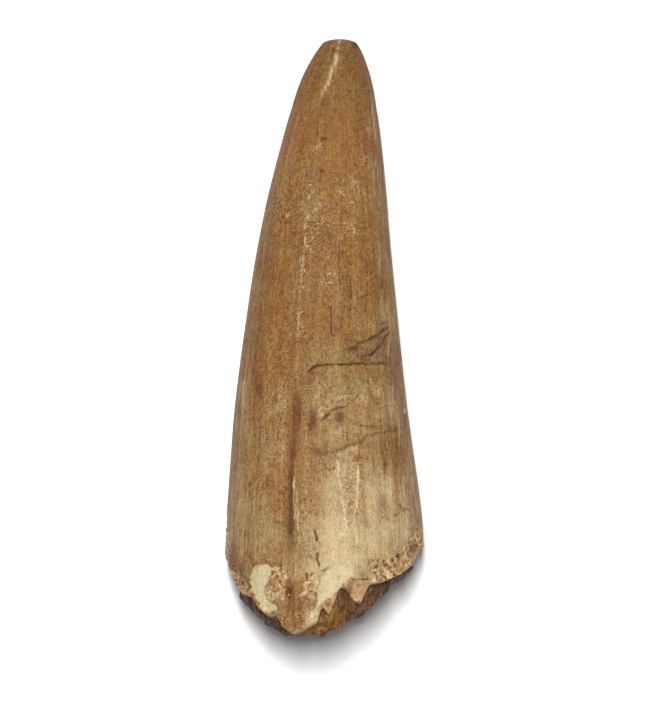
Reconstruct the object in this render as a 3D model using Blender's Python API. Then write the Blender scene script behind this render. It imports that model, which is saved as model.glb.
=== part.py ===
"""Fossil tooth of a long-snouted crocodile relative, lying on its side.

The tooth is one mineralised piece. Its crown is a slightly bent, fluted cone with two keels, a
blunt worn tip and a broken root end, where the outer layer ends in a jagged ledge round a darker
core. The tip points along +Y and the broken end along -Y. The tooth rests on the narrow strip
that wear has flattened on its underside, at z = 0, and the origin is the middle of its footprint.

Depth is measured in metres from the tip towards the broken end. Angle is measured round the
tooth, in radians: 0 faces up, a quarter turn faces +X and a half turn faces the ground.
"""

import math

import bmesh
import bpy
import numpy as np
from mathutils import Vector, noise

MM = 0.001

# Crown: a straight-sided cone, drawn in to a round nose at the tip and to a shoulder near the break.
BASE_RADIUS = 9.9 * MM
BASE_DEPTH = 50.0 * MM
WIDEST_DEPTH = 52.0 * MM
FLANK_SLOPE = 0.1215
NOSE_TUCK = 2.7 * MM
NOSE_LENGTH = 5.0 * MM
SHOULDER_DEPTH = 44.0 * MM
SHOULDER_TUCK = 0.2 * MM
HEIGHT_TO_WIDTH = 0.97
LIP_DROP = 0.5 * MM

# Bend of the crown, seen from above.
TIP_SWEEP = 1.9 * MM
SWEEP_DEPTH = 31.0 * MM
SWEEP_POWER = 1.6
BASE_DRIFT = 0.3 * MM
DRIFT_START = 36.0 * MM
DRIFT_LENGTH = 15.0 * MM

# How far each flank stands out past the plain cone (depth, fullness).
SIDE_FULLNESS = (
    (0.0, 0.05), (0.5, 0.16), (1.5, 0.22), (4.0, 0.20), (7.0, 0.04), (11.0, 0.05), (16.0, 0.16),
    (32.0, 0.16), (39.0, 0.12), (46.0, -0.06), (51.0, 0.0),
)

# Worn tip.
TIP_CAP_DEPTH = 0.35 * MM
TIP_DOME_POWER = 2.4

# Lie of the tooth: its axis slopes so that the straight flank lies level, on a strip worn into it.
BALANCE_DEPTH = 35.5 * MM
AXIS_SLOPE = FLANK_SLOPE * HEIGHT_TO_WIDTH
WORN_DEPTH = 0.14 * MM

# Keels (carinae): depth below the tip, then angle in degrees. The second keel mirrors the first.
KEEL_LINE = ((0.0, 0), (1.0, 0), (4.3, -11), (7.0, -13.5), (15.0, -16.5), (60.0, -16.5))
KEEL_HEIGHT = 0.38 * MM
KEEL_HALF_WIDTH = 0.60 * MM
KEEL_START = 1.5 * MM
KEEL_FULL = 9.0 * MM

# Lengthwise flutes and slow unevenness of the enamel.
FLUTE_COUNT = 24
FLUTE_HEIGHT = 0.075 * MM
FLUTE_START = 6.0 * MM
FLUTE_FULL = 24.0 * MM
SWELL_HEIGHT = 0.14 * MM
SWELL_CELL = 9.0 * MM

# Outer layer at the break: where it ends, seen from above and from below (across, depth).
OUTER_LAYER = 1.1 * MM
LEDGE_BEVEL = 0.25 * MM
UPPER_RIM = (
    (-9.9, 51.2), (-9.2, 53.0), (-8.6, 54.6), (-7.8, 55.5), (-7.0, 55.6), (-6.1, 57.0),
    (-5.5, 57.5), (-4.4, 57.4), (-3.9, 58.6), (-3.2, 59.1), (-2.5, 59.15), (-1.8, 58.9),
    (-0.4, 58.0), (0.1, 56.6), (0.9, 57.3), (1.8, 54.8), (2.4, 54.7), (3.7, 55.9),
    (4.5, 56.1), (5.0, 54.4), (6.7, 54.05), (7.6, 53.65), (8.6, 53.2), (9.3, 52.4), (10.0, 51.0),
)
LOWER_RIM = (
    (-9.9, 51.2), (-8.4, 53.7), (-6.9, 55.0), (-5.1, 57.2), (-3.4, 56.7), (-1.6, 58.5),
    (0.5, 57.8), (2.3, 58.2), (3.6, 56.3), (5.2, 55.8), (6.6, 54.0), (8.2, 53.4), (9.9, 51.0),
)

# Core: the outline of its broken end, seen from above (across, depth).
CORE_OUTLINE = (
    (-10.0, 52.3), (-9.3, 53.9), (-8.6, 55.5), (-7.8, 56.7), (-6.8, 57.8), (-5.7, 58.9),
    (-3.9, 59.8), (-1.8, 60.0), (0.1, 59.9), (1.7, 59.3), (3.5, 58.1), (5.2, 56.9),
    (6.8, 55.2), (8.4, 53.9), (9.2, 52.7), (10.0, 51.3),
)
CORE_TAPER = 0.35 * MM
CORE_EDGE_DROP = 0.7 * MM
CORE_LEAST_STEP = 0.15 * MM
CRYSTAL_COUNT = 60
CRYSTAL_HEIGHT = 1.0 * MM
CRYSTAL_PROUD = 0.3 * MM
CRYSTAL_SLOPE = 0.7
CRYSTAL_SIDES = 3

# Scars where thin flakes of enamel came away: outline (across, depth), then how deep it lies.
SCAR_EDGE = 0.45 * MM
UPPER_SCARS = (
    (((-7.2, 55.2), (-6.6, 52.6), (-5.2, 52.6), (-3.0, 53.2), (-2.9, 55.2), (-4.3, 57.3), (-6.1, 57.0)), 0.24),
    (((0.0, 54.2), (1.6, 52.9), (2.9, 52.7), (3.2, 54.0), (1.6, 55.6), (0.0, 57.0), (-1.4, 58.9), (-0.7, 56.4)), 0.24),
    (((3.2, 53.2), (5.5, 52.2), (8.0, 50.3), (9.9, 50.4), (9.3, 52.8), (6.5, 54.6), (3.4, 54.6)), 0.34),
)
LOWER_SCARS = (
    (((-6.0, 49.8), (-3.6, 48.9), (-2.2, 51.0), (-2.9, 54.2), (-5.4, 54.6)), 0.26),
    (((2.1, 52.0), (4.4, 50.6), (7.3, 51.2), (7.6, 53.6), (4.0, 56.0)), 0.32),
    (((3.1, 30.2), (4.9, 28.8), (6.1, 31.6), (5.0, 35.0), (3.6, 33.6)), 0.20),
)

# Mesh density: segments round the tooth, and rings in each stretch from the tip to the end face.
SEGMENTS = 96
TIP_RINGS = 3
SIDE_RINGS = 28
LEDGE_RINGS = 2
CORE_RINGS = 3
FACE_RINGS = 14
SIDE_CROWDING = 1.25
FACE_SPACING = 0.45 * MM
SMOOTH_ANGLE = math.radians(24)

# Finishes: colour (linear RGB) and roughness.
ENAMEL = ("polished_enamel", (0.350, 0.195, 0.085), 0.38)
DENTINE = ("bare_dentine", (0.560, 0.420, 0.250), 0.75)
CORE_STONE = ("core_stone", (0.125, 0.062, 0.026), 0.60)


def eased(value, start, end):
    """0 before start and 1 after end, with a smooth rise between them."""
    share = np.clip((value - start) / (end - start), 0.0, 1.0)
    return share * share * (3.0 - 2.0 * share)


def along_line(value, points):
    """Height of the broken line through points given in millimetres, at each value in metres."""
    across, height = np.array(points).T * MM
    return np.interp(value, across, height)


def lobe(points, cell, seed):
    """Smooth noise between -1 and 1 at each point, with features about one cell across."""
    shift = Vector((seed * 17.3, seed * 5.1, seed * 9.7))
    return np.array([noise.noise(Vector(point) / cell + shift) for point in points])


def distance_inside(across, depth, outline):
    """How far each place lies inside a closed outline in millimetres; negative outside it."""
    corners = np.array(outline) * MM
    places = np.stack([across, depth], axis=-1)
    nearest = np.full(across.shape, np.inf)
    inside = np.zeros(across.shape, bool)
    for start, end in zip(corners, np.roll(corners, -1, axis=0)):
        edge = end - start
        share = np.clip(((places - start) @ edge) / (edge @ edge), 0.0, 1.0)
        nearest = np.minimum(nearest, np.linalg.norm(places - start - share[..., None] * edge, axis=-1))
        crosses = (start[1] > depth) != (end[1] > depth)
        rise = end[1] - start[1] if end[1] != start[1] else 1.0
        inside ^= crosses & (across < start[0] + (depth - start[1]) * edge[0] / rise)
    return np.where(inside, nearest, -nearest)


def crown_radius(depth):
    """Half the crown's width at a depth."""
    held = np.minimum(depth, WIDEST_DEPTH)
    flank = BASE_RADIUS - FLANK_SLOPE * (BASE_DEPTH - held)
    nose = NOSE_TUCK * np.exp(-held / NOSE_LENGTH)
    along_shoulder = np.clip(held - SHOULDER_DEPTH, 0.0, None) / (BASE_DEPTH - SHOULDER_DEPTH)
    past = np.clip(depth - WIDEST_DEPTH, 0.0, None) / (8.0 * MM)
    return flank - nose + SHOULDER_TUCK * (1.0 - along_shoulder**2) - LIP_DROP * past**2


def centre_across(depth):
    """Sideways place of the crown's middle at a depth: the tip leans towards +X."""
    bend = np.clip(1.0 - depth / SWEEP_DEPTH, 0.0, None) ** SWEEP_POWER
    return TIP_SWEEP * bend + BASE_DRIFT * eased(depth, DRIFT_START, DRIFT_START + DRIFT_LENGTH)


def centre_height(depth):
    """Height of the crown's middle above the ground at a depth."""
    middle = crown_radius(BALANCE_DEPTH) * HEIGHT_TO_WIDTH - WORN_DEPTH
    return middle + AXIS_SLOPE * (depth - BALANCE_DEPTH)


def keels(angle, depth, radius):
    """Relief of the two keels, which fade out on the worn tip."""
    line_depth, line_angle = np.array(KEEL_LINE).T
    upper = np.radians(np.interp(depth, line_depth * MM, line_angle))
    relief = np.zeros_like(angle)
    for crest in (upper, math.pi - upper):
        turn = np.abs((angle - crest + math.pi) % math.tau - math.pi)
        relief += KEEL_HEIGHT / (1.0 + (turn * radius / KEEL_HALF_WIDTH) ** 2) ** 1.5
    return relief * (0.25 + 0.75 * eased(depth, KEEL_START, KEEL_FULL))


def flutes(angle, depth):
    """Relief of the lengthwise flutes, unevenly spaced round the tooth."""
    drift = 0.9 * np.sin(3.0 * angle + 1.0) + 0.6 * np.sin(5.0 * angle + 2.3)
    strength = 0.65 + 0.35 * np.sin(2.0 * angle + 0.7)
    wave = np.cos(FLUTE_COUNT * angle + drift)
    return FLUTE_HEIGHT * strength * wave * eased(depth, FLUTE_START, FLUTE_FULL)


def scars(angle, depth, across):
    """Depth of the flake scars, seen from above on the upper half and from below on the lower."""
    lost = np.zeros_like(angle)
    for facing_up, marks in ((True, UPPER_SCARS), (False, LOWER_SCARS)):
        on_side = (np.cos(angle) > 0.0) == facing_up
        for outline, deep in marks:
            inside = distance_inside(across, depth, outline)
            lost += on_side * deep * MM * eased(inside, -0.5 * SCAR_EDGE, 0.5 * SCAR_EDGE)
    return lost


def place(angle, depth, radius):
    """Point at an angle, a depth and a distance from the crown's middle line."""
    half_width = radius * (1.0 + along_line(depth, SIDE_FULLNESS) / crown_radius(depth))
    return np.stack(
        [
            centre_across(depth) + half_width * np.sin(angle),
            -depth,
            centre_height(depth) + HEIGHT_TO_WIDTH * radius * np.cos(angle),
        ],
        axis=-1,
    )


def side_radius(angle, depth):
    """Distance of the outer surface from the middle line, with all its relief."""
    radius = crown_radius(depth)
    across = centre_across(depth) + radius * np.sin(angle)
    swell = SWELL_HEIGHT * lobe(place(angle, depth, radius), SWELL_CELL, seed=1)
    relief = keels(angle, depth, radius) + flutes(angle, depth) - scars(angle, depth, across)
    return radius + relief + swell * eased(depth, 0.0, FLUTE_START)


def rim_depth(angle):
    """Depth at which the outer layer breaks off, at each angle."""
    across = BASE_DRIFT + BASE_RADIUS * np.sin(angle)
    upper = along_line(across, UPPER_RIM)
    lower = along_line(across, LOWER_RIM)
    return np.where(np.cos(angle) > 0.0, upper, lower)


def crystal_relief(across, height, seed=7):
    """Upper envelope of low flat-faced pyramids, strewn over the end face."""
    chance = np.random.default_rng(seed)
    relief = np.full(across.shape, -np.inf)
    for _ in range(CRYSTAL_COUNT):
        turn, reach, lift, twist = chance.random(4)
        spread = BASE_RADIUS * math.sqrt(reach)
        away_x = across - spread * math.cos(math.tau * turn)
        away_z = height - spread * math.sin(math.tau * turn)
        sides = [twist * math.tau + math.tau * side / CRYSTAL_SIDES for side in range(CRYSTAL_SIDES)]
        fall = np.max([away_x * math.cos(side) + away_z * math.sin(side) for side in sides], axis=0)
        relief = np.maximum(relief, lift * CRYSTAL_HEIGHT - CRYSTAL_SLOPE * fall)
    return relief - CRYSTAL_HEIGHT + CRYSTAL_PROUD


def core_radius(angle, depth):
    """Distance of the core's side from the middle line, where the outer layer is missing."""
    radius = crown_radius(depth) - OUTER_LAYER
    grain = lobe(place(angle, depth, radius), 1.8 * MM, seed=3)
    return radius + 0.16 * MM * grain + 0.25 * keels(angle, depth, radius)


def end_depth(across, height):
    """Depth of the broken end face at a place across it, height counted from its middle."""
    edge_drop = CORE_EDGE_DROP * (height / BASE_RADIUS) ** 2
    return along_line(across, CORE_OUTLINE) - edge_drop


def core_edge_depth(angle):
    """Depth at which the core's side meets the end face."""
    radius = BASE_RADIUS - OUTER_LAYER - CORE_TAPER
    edge = end_depth(BASE_DRIFT + radius * np.sin(angle), radius * np.cos(angle))
    return np.maximum(edge, rim_depth(angle) + LEDGE_BEVEL + CORE_LEAST_STEP)


def tip_cap(angle, share):
    """Worn, slightly domed tip, from its middle to the start of the side."""
    rim = side_radius(angle, np.full_like(angle, TIP_CAP_DEPTH))
    depth = TIP_CAP_DEPTH * share**TIP_DOME_POWER
    middle = place(angle, np.full_like(angle, TIP_CAP_DEPTH), rim * share)
    middle[..., 1] = -depth
    return middle


def side(angle, share):
    """Outer surface, whose rings lie level near the tip and follow the broken rim near the end."""
    crowded = 1.0 - (1.0 - share) ** SIDE_CROWDING
    level = TIP_CAP_DEPTH + crowded * (WIDEST_DEPTH - TIP_CAP_DEPTH)
    follow = TIP_CAP_DEPTH + crowded * (rim_depth(angle) - TIP_CAP_DEPTH)
    blend = eased(share, 0.7, 1.0)
    depth = level + (follow - level) * blend
    return place(angle, depth, side_radius(angle, depth))


def ledge(angle, share):
    """Broken edge of the outer layer, stepping in from the rim to the core."""
    rim = rim_depth(angle)
    inner_depth = rim + LEDGE_BEVEL
    outer = place(angle, rim, side_radius(angle, rim))
    inner = place(angle, inner_depth, core_radius(angle, inner_depth))
    return outer + (inner - outer) * share[..., None]


def core_side(angle, share):
    """Side of the core, from under the ledge to the edge of the end face."""
    start = rim_depth(angle) + LEDGE_BEVEL
    depth = start + (core_edge_depth(angle) - start) * share
    return place(angle, depth, core_radius(angle, depth) - CORE_TAPER * share**2)


def end_face(angle, share):
    """Broken end of the core, from its edge to the middle."""
    edge_depth = core_edge_depth(angle)
    edge = place(angle, edge_depth, core_radius(angle, edge_depth) - CORE_TAPER)
    middle = place(0.0, np.float64(WIDEST_DEPTH), 0.0)
    points = edge + (middle - edge) * share[..., None]
    height = (points[..., 2] - middle[2]) / HEIGHT_TO_WIDTH
    inner = end_depth(points[..., 0], height) + crystal_relief(points[..., 0], height)
    depth = edge_depth + (inner - edge_depth) * eased(share, 0.0, 0.22)
    points[..., 1] = -depth
    return points


STRETCHES = (
    (tip_cap, TIP_RINGS), (side, SIDE_RINGS), (ledge, LEDGE_RINGS), (core_side, CORE_RINGS), (end_face, FACE_RINGS),
)
RINGS = sum(rings for _, rings in STRETCHES)
FIRST_DENTINE_RING = TIP_RINGS + SIDE_RINGS
FIRST_CORE_RING = FIRST_DENTINE_RING + LEDGE_RINGS
FIRST_FACE_RING = FIRST_CORE_RING + CORE_RINGS


def finish_named(name, colour, roughness):
    """Plain material with the given colour and roughness."""
    material = bpy.data.materials.new(name)
    material.use_nodes = True
    shader = material.node_tree.nodes["Principled BSDF"]
    shader.inputs["Base Color"].default_value = (*colour, 1.0)
    shader.inputs["Roughness"].default_value = roughness
    return material


def shaped_sphere():
    """Sphere whose rings are drawn out into the tip, the side, the ledge and the end face."""
    mesh = bpy.data.meshes.new("tooth")
    shape = bmesh.new()
    bmesh.ops.create_uvsphere(shape, u_segments=SEGMENTS, v_segments=RINGS, radius=1.0)
    ball = np.array([vertex.co for vertex in shape.verts])
    angle = np.arctan2(ball[:, 0], ball[:, 1])
    ring = np.rint(np.arccos(np.clip(ball[:, 2], -1.0, 1.0)) / math.pi * RINGS)
    points = np.zeros_like(ball)
    first = 0
    for stretch, rings in STRETCHES:
        chosen = (ring >= first) & (ring <= first + rings)
        points[chosen] = stretch(angle[chosen], (ring[chosen] - first) / rings)
        first += rings
    points[:, 2] = np.maximum(points[:, 2], 0.0)
    middle = (points.min(axis=0) + points.max(axis=0)) / 2.0
    points[:, :2] -= middle[:2]
    for vertex, point in zip(shape.verts, points):
        vertex.co = point
    shape.verts.ensure_lookup_table()
    for face in shape.faces:
        outermost = min(ring[vertex.index] for vertex in face.verts)
        face.material_index = int(outermost >= FIRST_DENTINE_RING) + int(outermost >= FIRST_CORE_RING)
        face.smooth = outermost < FIRST_FACE_RING
    inner = [vertex for vertex in shape.verts if ring[vertex.index] > FIRST_FACE_RING + 1]
    bmesh.ops.remove_doubles(shape, verts=inner, dist=FACE_SPACING)
    bmesh.ops.recalc_face_normals(shape, faces=shape.faces)
    shape.to_mesh(mesh)
    shape.free()
    return mesh


def make_tooth(collection):
    """The whole tooth as one object."""
    mesh = shaped_sphere()
    for finish in (ENAMEL, DENTINE, CORE_STONE):
        mesh.materials.append(finish_named(*finish))
    mesh.set_sharp_from_angle(angle=SMOOTH_ANGLE)
    tooth = bpy.data.objects.new("tooth", mesh)
    collection.objects.link(tooth)
    return tooth


def main():
    for leftover in list(bpy.data.objects):
        bpy.data.objects.remove(leftover)
    collection = bpy.data.collections.new("fossil_tooth")
    bpy.context.scene.collection.children.link(collection)
    make_tooth(collection)


main()
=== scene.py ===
"""Fossil tooth crown of a long-snouted crocodile relative, lying on its side, with its surface and studio.

Lengths are in metres. Depth runs from the tip towards the broken end, and across runs sideways, as
the view from above shows them. Angle goes round the tooth in radians: 0 faces up, a quarter turn
faces +X and a half turn faces the ground. Outlines and lines of marks are (across, depth) in
millimetres.
"""

import math

import bmesh
import bpy
import numpy as np
from bpy.props import FloatProperty, FloatVectorProperty, IntProperty, PointerProperty
from mathutils import Matrix, Vector, noise


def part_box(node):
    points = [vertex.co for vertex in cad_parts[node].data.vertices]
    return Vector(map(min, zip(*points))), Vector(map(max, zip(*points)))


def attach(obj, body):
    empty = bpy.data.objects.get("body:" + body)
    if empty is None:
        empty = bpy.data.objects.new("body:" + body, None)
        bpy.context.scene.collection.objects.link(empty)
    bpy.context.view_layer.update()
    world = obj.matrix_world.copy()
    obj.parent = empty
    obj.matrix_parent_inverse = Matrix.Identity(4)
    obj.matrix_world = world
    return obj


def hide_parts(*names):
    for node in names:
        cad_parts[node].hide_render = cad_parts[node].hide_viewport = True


bl_info = {
    "name": "Fossil Tooth Studio",
    "version": (1, 0, 0),
    "blender": (4, 5, 0),
    "location": "View3D > Sidebar > Fossil",
    "description": "Models a fossil tooth crown with its broken base, cemented sand and a pale studio floor",
    "category": "Object",
}

MM = 0.001
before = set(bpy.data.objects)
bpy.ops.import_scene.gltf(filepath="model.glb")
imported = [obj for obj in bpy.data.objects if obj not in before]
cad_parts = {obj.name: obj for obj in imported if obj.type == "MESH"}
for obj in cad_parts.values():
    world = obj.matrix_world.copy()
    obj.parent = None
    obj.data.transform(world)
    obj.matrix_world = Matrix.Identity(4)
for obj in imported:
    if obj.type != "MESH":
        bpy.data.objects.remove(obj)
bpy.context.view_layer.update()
TOOTH_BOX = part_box("tooth")
TOOTH_LENGTH = float(TOOTH_BOX[1][1] - TOOTH_BOX[0][1])

# Crown form, as the solid has it.
BASE_RADIUS = 9.9 * MM
BASE_DEPTH = 50.0 * MM
WIDEST_DEPTH = 52.0 * MM
FLANK_SLOPE = 0.1215
NOSE_TUCK = 2.7 * MM
NOSE_LENGTH = 5.0 * MM
SHOULDER_DEPTH = 44.0 * MM
SHOULDER_TUCK = 0.2 * MM
HEIGHT_TO_WIDTH = 0.97
LIP_DROP = 0.5 * MM
LIP_LENGTH = 8.0 * MM
TIP_SWEEP = 1.9 * MM
SWEEP_DEPTH = 31.0 * MM
SWEEP_POWER = 1.6
BASE_DRIFT = 0.3 * MM
DRIFT_START = 36.0 * MM
DRIFT_LENGTH = 15.0 * MM

# How far each flank stands out past the plain cone (depth, fullness).
SIDE_FULLNESS = (
    (0.0, 0.05), (0.5, 0.16), (1.5, 0.22), (4.0, 0.20), (7.0, 0.04), (11.0, 0.05), (16.0, 0.16),
    (32.0, 0.16), (39.0, 0.12), (46.0, -0.06), (51.0, 0.0),
)

# Sideways place of the footprint's middle, counted from the crown's middle line at its base.
MIDDLE = 0.32 * MM
TIP_CAP_DEPTH = 0.35 * MM
TIP_DOME_POWER = 2.4
BALANCE_DEPTH = 35.5 * MM
AXIS_SLOPE = FLANK_SLOPE * HEIGHT_TO_WIDTH
WORN_DEPTH = 0.14 * MM

# The upper keel's place: depth in millimetres, then angle in degrees. The lower keel mirrors it.
KEEL_LINE = ((0.0, 0), (1.0, 0), (4.3, -11), (7.0, -13.5), (15.0, -16.5), (60.0, -16.5))
KEEL_START = 1.5 * MM
KEEL_FULL = 9.0 * MM
KEEL_HALF_WIDTH = 0.60 * MM
KEEL_ON_TIP = 0.25
FLUTE_COUNT = 24
FLUTE_START = 6.0 * MM
FLUTE_FULL = 24.0 * MM
RIB_COUNT = 43
RIB_START = 26.0 * MM
RIB_FULL = 46.0 * MM
SWELL_HEIGHT = 0.14 * MM
SWELL_CELL = 9.0 * MM

# Fine relief: sizes of its bumps, then how high or deep each kind of mark is.
COARSE_CELL = 0.55 * MM
FINE_CELL = 0.28 * MM
CORE_CELL = 0.5 * MM
LEDGE_CELL = 0.4 * MM
WIDTH_CELL = 0.9 * MM
CRACK_SHAKE = 0.13 * MM
GRIT_HEIGHT = 0.07 * MM
ROUGH_HEIGHT = 0.05 * MM
LIFT_HEIGHT = 0.10 * MM
RUBBED_HEIGHT = 0.03 * MM
STAIN_DEPTH = 0.05 * MM
PIT_DEPTH = 0.25 * MM
PITS_START = 48.0 * MM
PITS_FULL = 51.0 * MM
CORE_GRAIN = 0.05 * MM
LEDGE_GRAIN = 0.10 * MM
FACET_RUN = 1.6 * MM

# Where the outer layer ends at the break, seen from above and from below.
UPPER_RIM = (
    (-9.9, 51.2), (-9.2, 53.0), (-8.6, 54.6), (-7.8, 55.5), (-7.0, 55.6), (-6.1, 57.0),
    (-5.5, 57.5), (-4.4, 57.4), (-3.9, 58.6), (-3.2, 59.1), (-2.5, 59.15), (-1.8, 58.9),
    (-0.4, 58.0), (0.1, 56.6), (0.9, 57.3), (1.8, 54.8), (2.4, 54.7), (3.7, 55.9),
    (4.5, 56.1), (5.0, 54.4), (6.7, 54.05), (7.6, 53.65), (8.6, 53.2), (9.3, 52.4), (10.0, 51.0),
)
LOWER_RIM = (
    (-9.9, 51.2), (-8.4, 53.7), (-6.9, 55.0), (-5.1, 57.2), (-3.4, 56.7), (-1.6, 58.5),
    (0.5, 57.8), (2.3, 58.2), (3.6, 56.3), (5.2, 55.8), (6.6, 54.0), (8.2, 53.4), (9.9, 51.0),
)
RIM_JAG = 0.14 * MM
JAG_CELL = 0.9 * MM
SMALL_JAG_CELL = 0.4 * MM
LEDGE_BEVEL = 0.42 * MM

# Outline of the core's broken end, seen from above.
CORE_OUTLINE = (
    (-10.0, 52.3), (-9.3, 53.9), (-8.6, 55.5), (-7.8, 56.7), (-6.8, 57.8), (-5.7, 58.9),
    (-3.9, 59.8), (-1.8, 60.0), (0.1, 59.9), (1.7, 59.3), (3.5, 58.1), (5.2, 56.9),
    (6.8, 55.2), (8.4, 53.9), (9.2, 52.7), (10.0, 51.3),
)
CORE_TAPER = 0.35 * MM
CORE_EDGE_DROP = 0.7 * MM
CORE_LEAST_STEP = 0.15 * MM
CORE_FULLNESS = 0.35 * MM
FACE_FULLNESS = 0.45 * MM

# Crystals of the core: how many, how tall the tallest, how steep, and the seed that strews them.
SIDE_CRYSTALS = (420, 0.7 * MM, 0.55, 8)
SMALL_CRYSTALS = (420, 0.5 * MM, 0.6, 9)
LARGE_CRYSTAL_COUNT = 90
LARGE_CRYSTAL_SLOPE = 0.6
SIDE_CRYSTAL_DEPTH = 56.0 * MM
SIDE_CRYSTAL_REACH = 5.0 * MM

# The view from above that the marks are placed in.
CAMERA_LENS = 400.0
CAMERA_RANGE = 780.0 * MM
CAMERA_OFF_CENTRE = (0.8 * MM, -1.4 * MM)
MID_HEIGHT = 9.5 * MM
TIP_SEEN_LOWER = 0.13 * MM

# Cracks: how dark, half width, then the line. The first list is seen from above, the second from below.
UPPER_CRACKS = (
    (0.75, 0.09, ((-1.3, 33.4), (-0.9, 33.0), (-0.2, 32.75), (0.9, 32.65), (1.5, 32.6))),
    (1.0, 0.11, ((1.7, 32.65), (2.4, 32.65), (3.1, 32.6), (3.7, 32.5))),
    (0.75, 0.09, ((3.7, 32.5), (4.3, 32.55), (4.8, 32.65), (5.7, 32.5), (6.6, 32.6))),
    (0.6, 0.17, ((2.1, 31.3), (2.4, 31.15), (3.0, 31.05), (3.65, 30.85), (3.7, 30.45))),
    (0.95, 0.15, ((3.7, 30.45), (4.2, 30.4), (4.7, 30.2), (5.5, 29.75), (6.2, 29.3), (6.6, 29.0))),
    (0.5, 0.09, ((6.1, 28.6), (6.6, 28.4))),
    (0.8, 0.11, ((6.8, 29.4), (6.45, 29.95), (5.75, 30.95), (5.05, 31.7), (4.7, 31.8), (4.0, 31.75))),
    (0.4, 0.07, ((2.15, 31.3), (2.05, 32.5))),
    (0.4, 0.05, ((2.3, 30.2), (3.5, 30.25))),
    (0.6, 0.06, ((3.9, 32.1), (4.7, 32.15), (5.1, 32.4))),
    (0.6, 0.07, ((3.85, 35.5), (3.5, 35.95), (3.25, 36.3))),
    (0.8, 0.10, ((2.8, 36.45), (2.5, 36.8), (2.0, 36.95), (1.4, 37.15), (0.95, 37.2), (0.7, 37.65))),
    (0.7, 0.09, ((0.7, 37.65), (0.4, 38.0), (0.05, 38.25))),
    (0.65, 0.06, ((4.0, 38.85), (5.5, 38.85))),
    (0.5, 0.11, ((7.6, 39.2), (6.5, 39.4), (5.5, 39.5), (5.3, 39.75), (4.6, 39.75))),
    (
        0.5, 0.13,
        ((4.6, 39.75), (4.2, 40.25), (3.9, 40.45), (3.2, 40.6), (2.5, 40.8), (2.0, 41.1), (1.5, 41.4)),
    ),
    (0.4, 0.15, ((1.25, 41.3), (0.5, 41.35), (0.1, 41.55), (-0.6, 41.4))),
    (0.7, 0.09, ((0.5, 43.05), (0.9, 43.2), (1.3, 43.05))),
    (0.45, 0.10, ((7.4, 47.8), (7.9, 47.5), (8.4, 47.2), (8.9, 47.1))),
    (0.5, 0.06, ((8.0, 46.6), (8.2, 47.3))),
    (0.5, 0.05, ((8.75, 44.6), (8.8, 46.2), (9.0, 48.4), (9.1, 50.2))),
    (0.8, 0.08, ((-0.65, 49.2), (-0.6, 49.6), (-0.5, 50.2))),
    (1.0, 0.15, ((-0.5, 51.6), (-0.4, 52.1))),
    (0.9, 0.09, ((-0.4, 52.1), (-0.2, 52.7))),
    (0.4, 0.05, ((-2.0, 51.9), (-1.6, 51.75), (-1.1, 51.8))),
    (0.6, 0.07, ((-7.2, 47.6), (-7.2, 49.0), (-7.3, 50.4))),
    (0.55, 0.05, ((1.8, 20.3), (1.8, 22.5), (1.85, 25.4))),
    (0.7, 0.05, ((2.95, 24.2), (3.0, 26.2))),
    (0.5, 0.05, ((3.6, 24.3), (3.65, 26.0))),
    (0.5, 0.05, ((0.95, 26.8), (1.0, 29.6))),
    (0.5, 0.06, ((3.6, 26.1), (4.0, 25.85), (4.5, 25.75), (4.85, 25.6))),
    (0.6, 0.05, ((5.05, 25.35), (5.5, 25.35))),
    (0.4, 0.06, ((2.8, 27.15), (3.3, 27.05), (3.65, 27.2))),
    (0.4, 0.06, ((3.05, 26.5), (3.65, 26.6))),
    (0.9, 0.07, ((0.1, 53.35), (0.35, 53.2), (0.75, 52.8))),
    (0.9, 0.09, ((-1.45, 53.6), (-1.45, 54.1))),
    (0.7, 0.07, ((-1.2, 53.9), (-0.9, 53.55))),
    (0.9, 0.09, ((3.2, 54.15), (4.1, 54.15), (5.0, 54.1))),
    (0.35, 0.05, ((-1.6, 46.0), (-1.5, 47.1))),
    (0.5, 0.10, ((8.0, 30.6), (8.1, 32.2), (7.4, 33.0))),
    (0.5, 0.06, ((-1.2, 18.45), (-0.2, 18.4), (0.7, 18.5))),
    (0.5, 0.06, ((-0.9, 18.8), (0.1, 18.85))),
)
LOWER_CRACKS = (
    (0.9, 0.11, ((-6.5, 28.5), (-5.2, 29.3), (-4.0, 29.6), (-1.5, 29.2), (1.2, 30.1), (3.4, 29.4))),
    (0.6, 0.12, ((1.2, 40.0), (2.6, 40.4), (4.5, 41.5), (7.6, 41.1))),
    (0.7, 0.12, ((-7.4, 44.8), (-5.2, 43.9), (-4.1, 44.4), (-2.8, 44.6), (-1.9, 45.6))),
    (0.5, 0.08, ((4.5, 41.5), (5.1, 43.6), (4.8, 46.0))),
    (0.6, 0.07, ((-1.9, 14.8), (-0.6, 15.3), (0.8, 15.1))),
)

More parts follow.
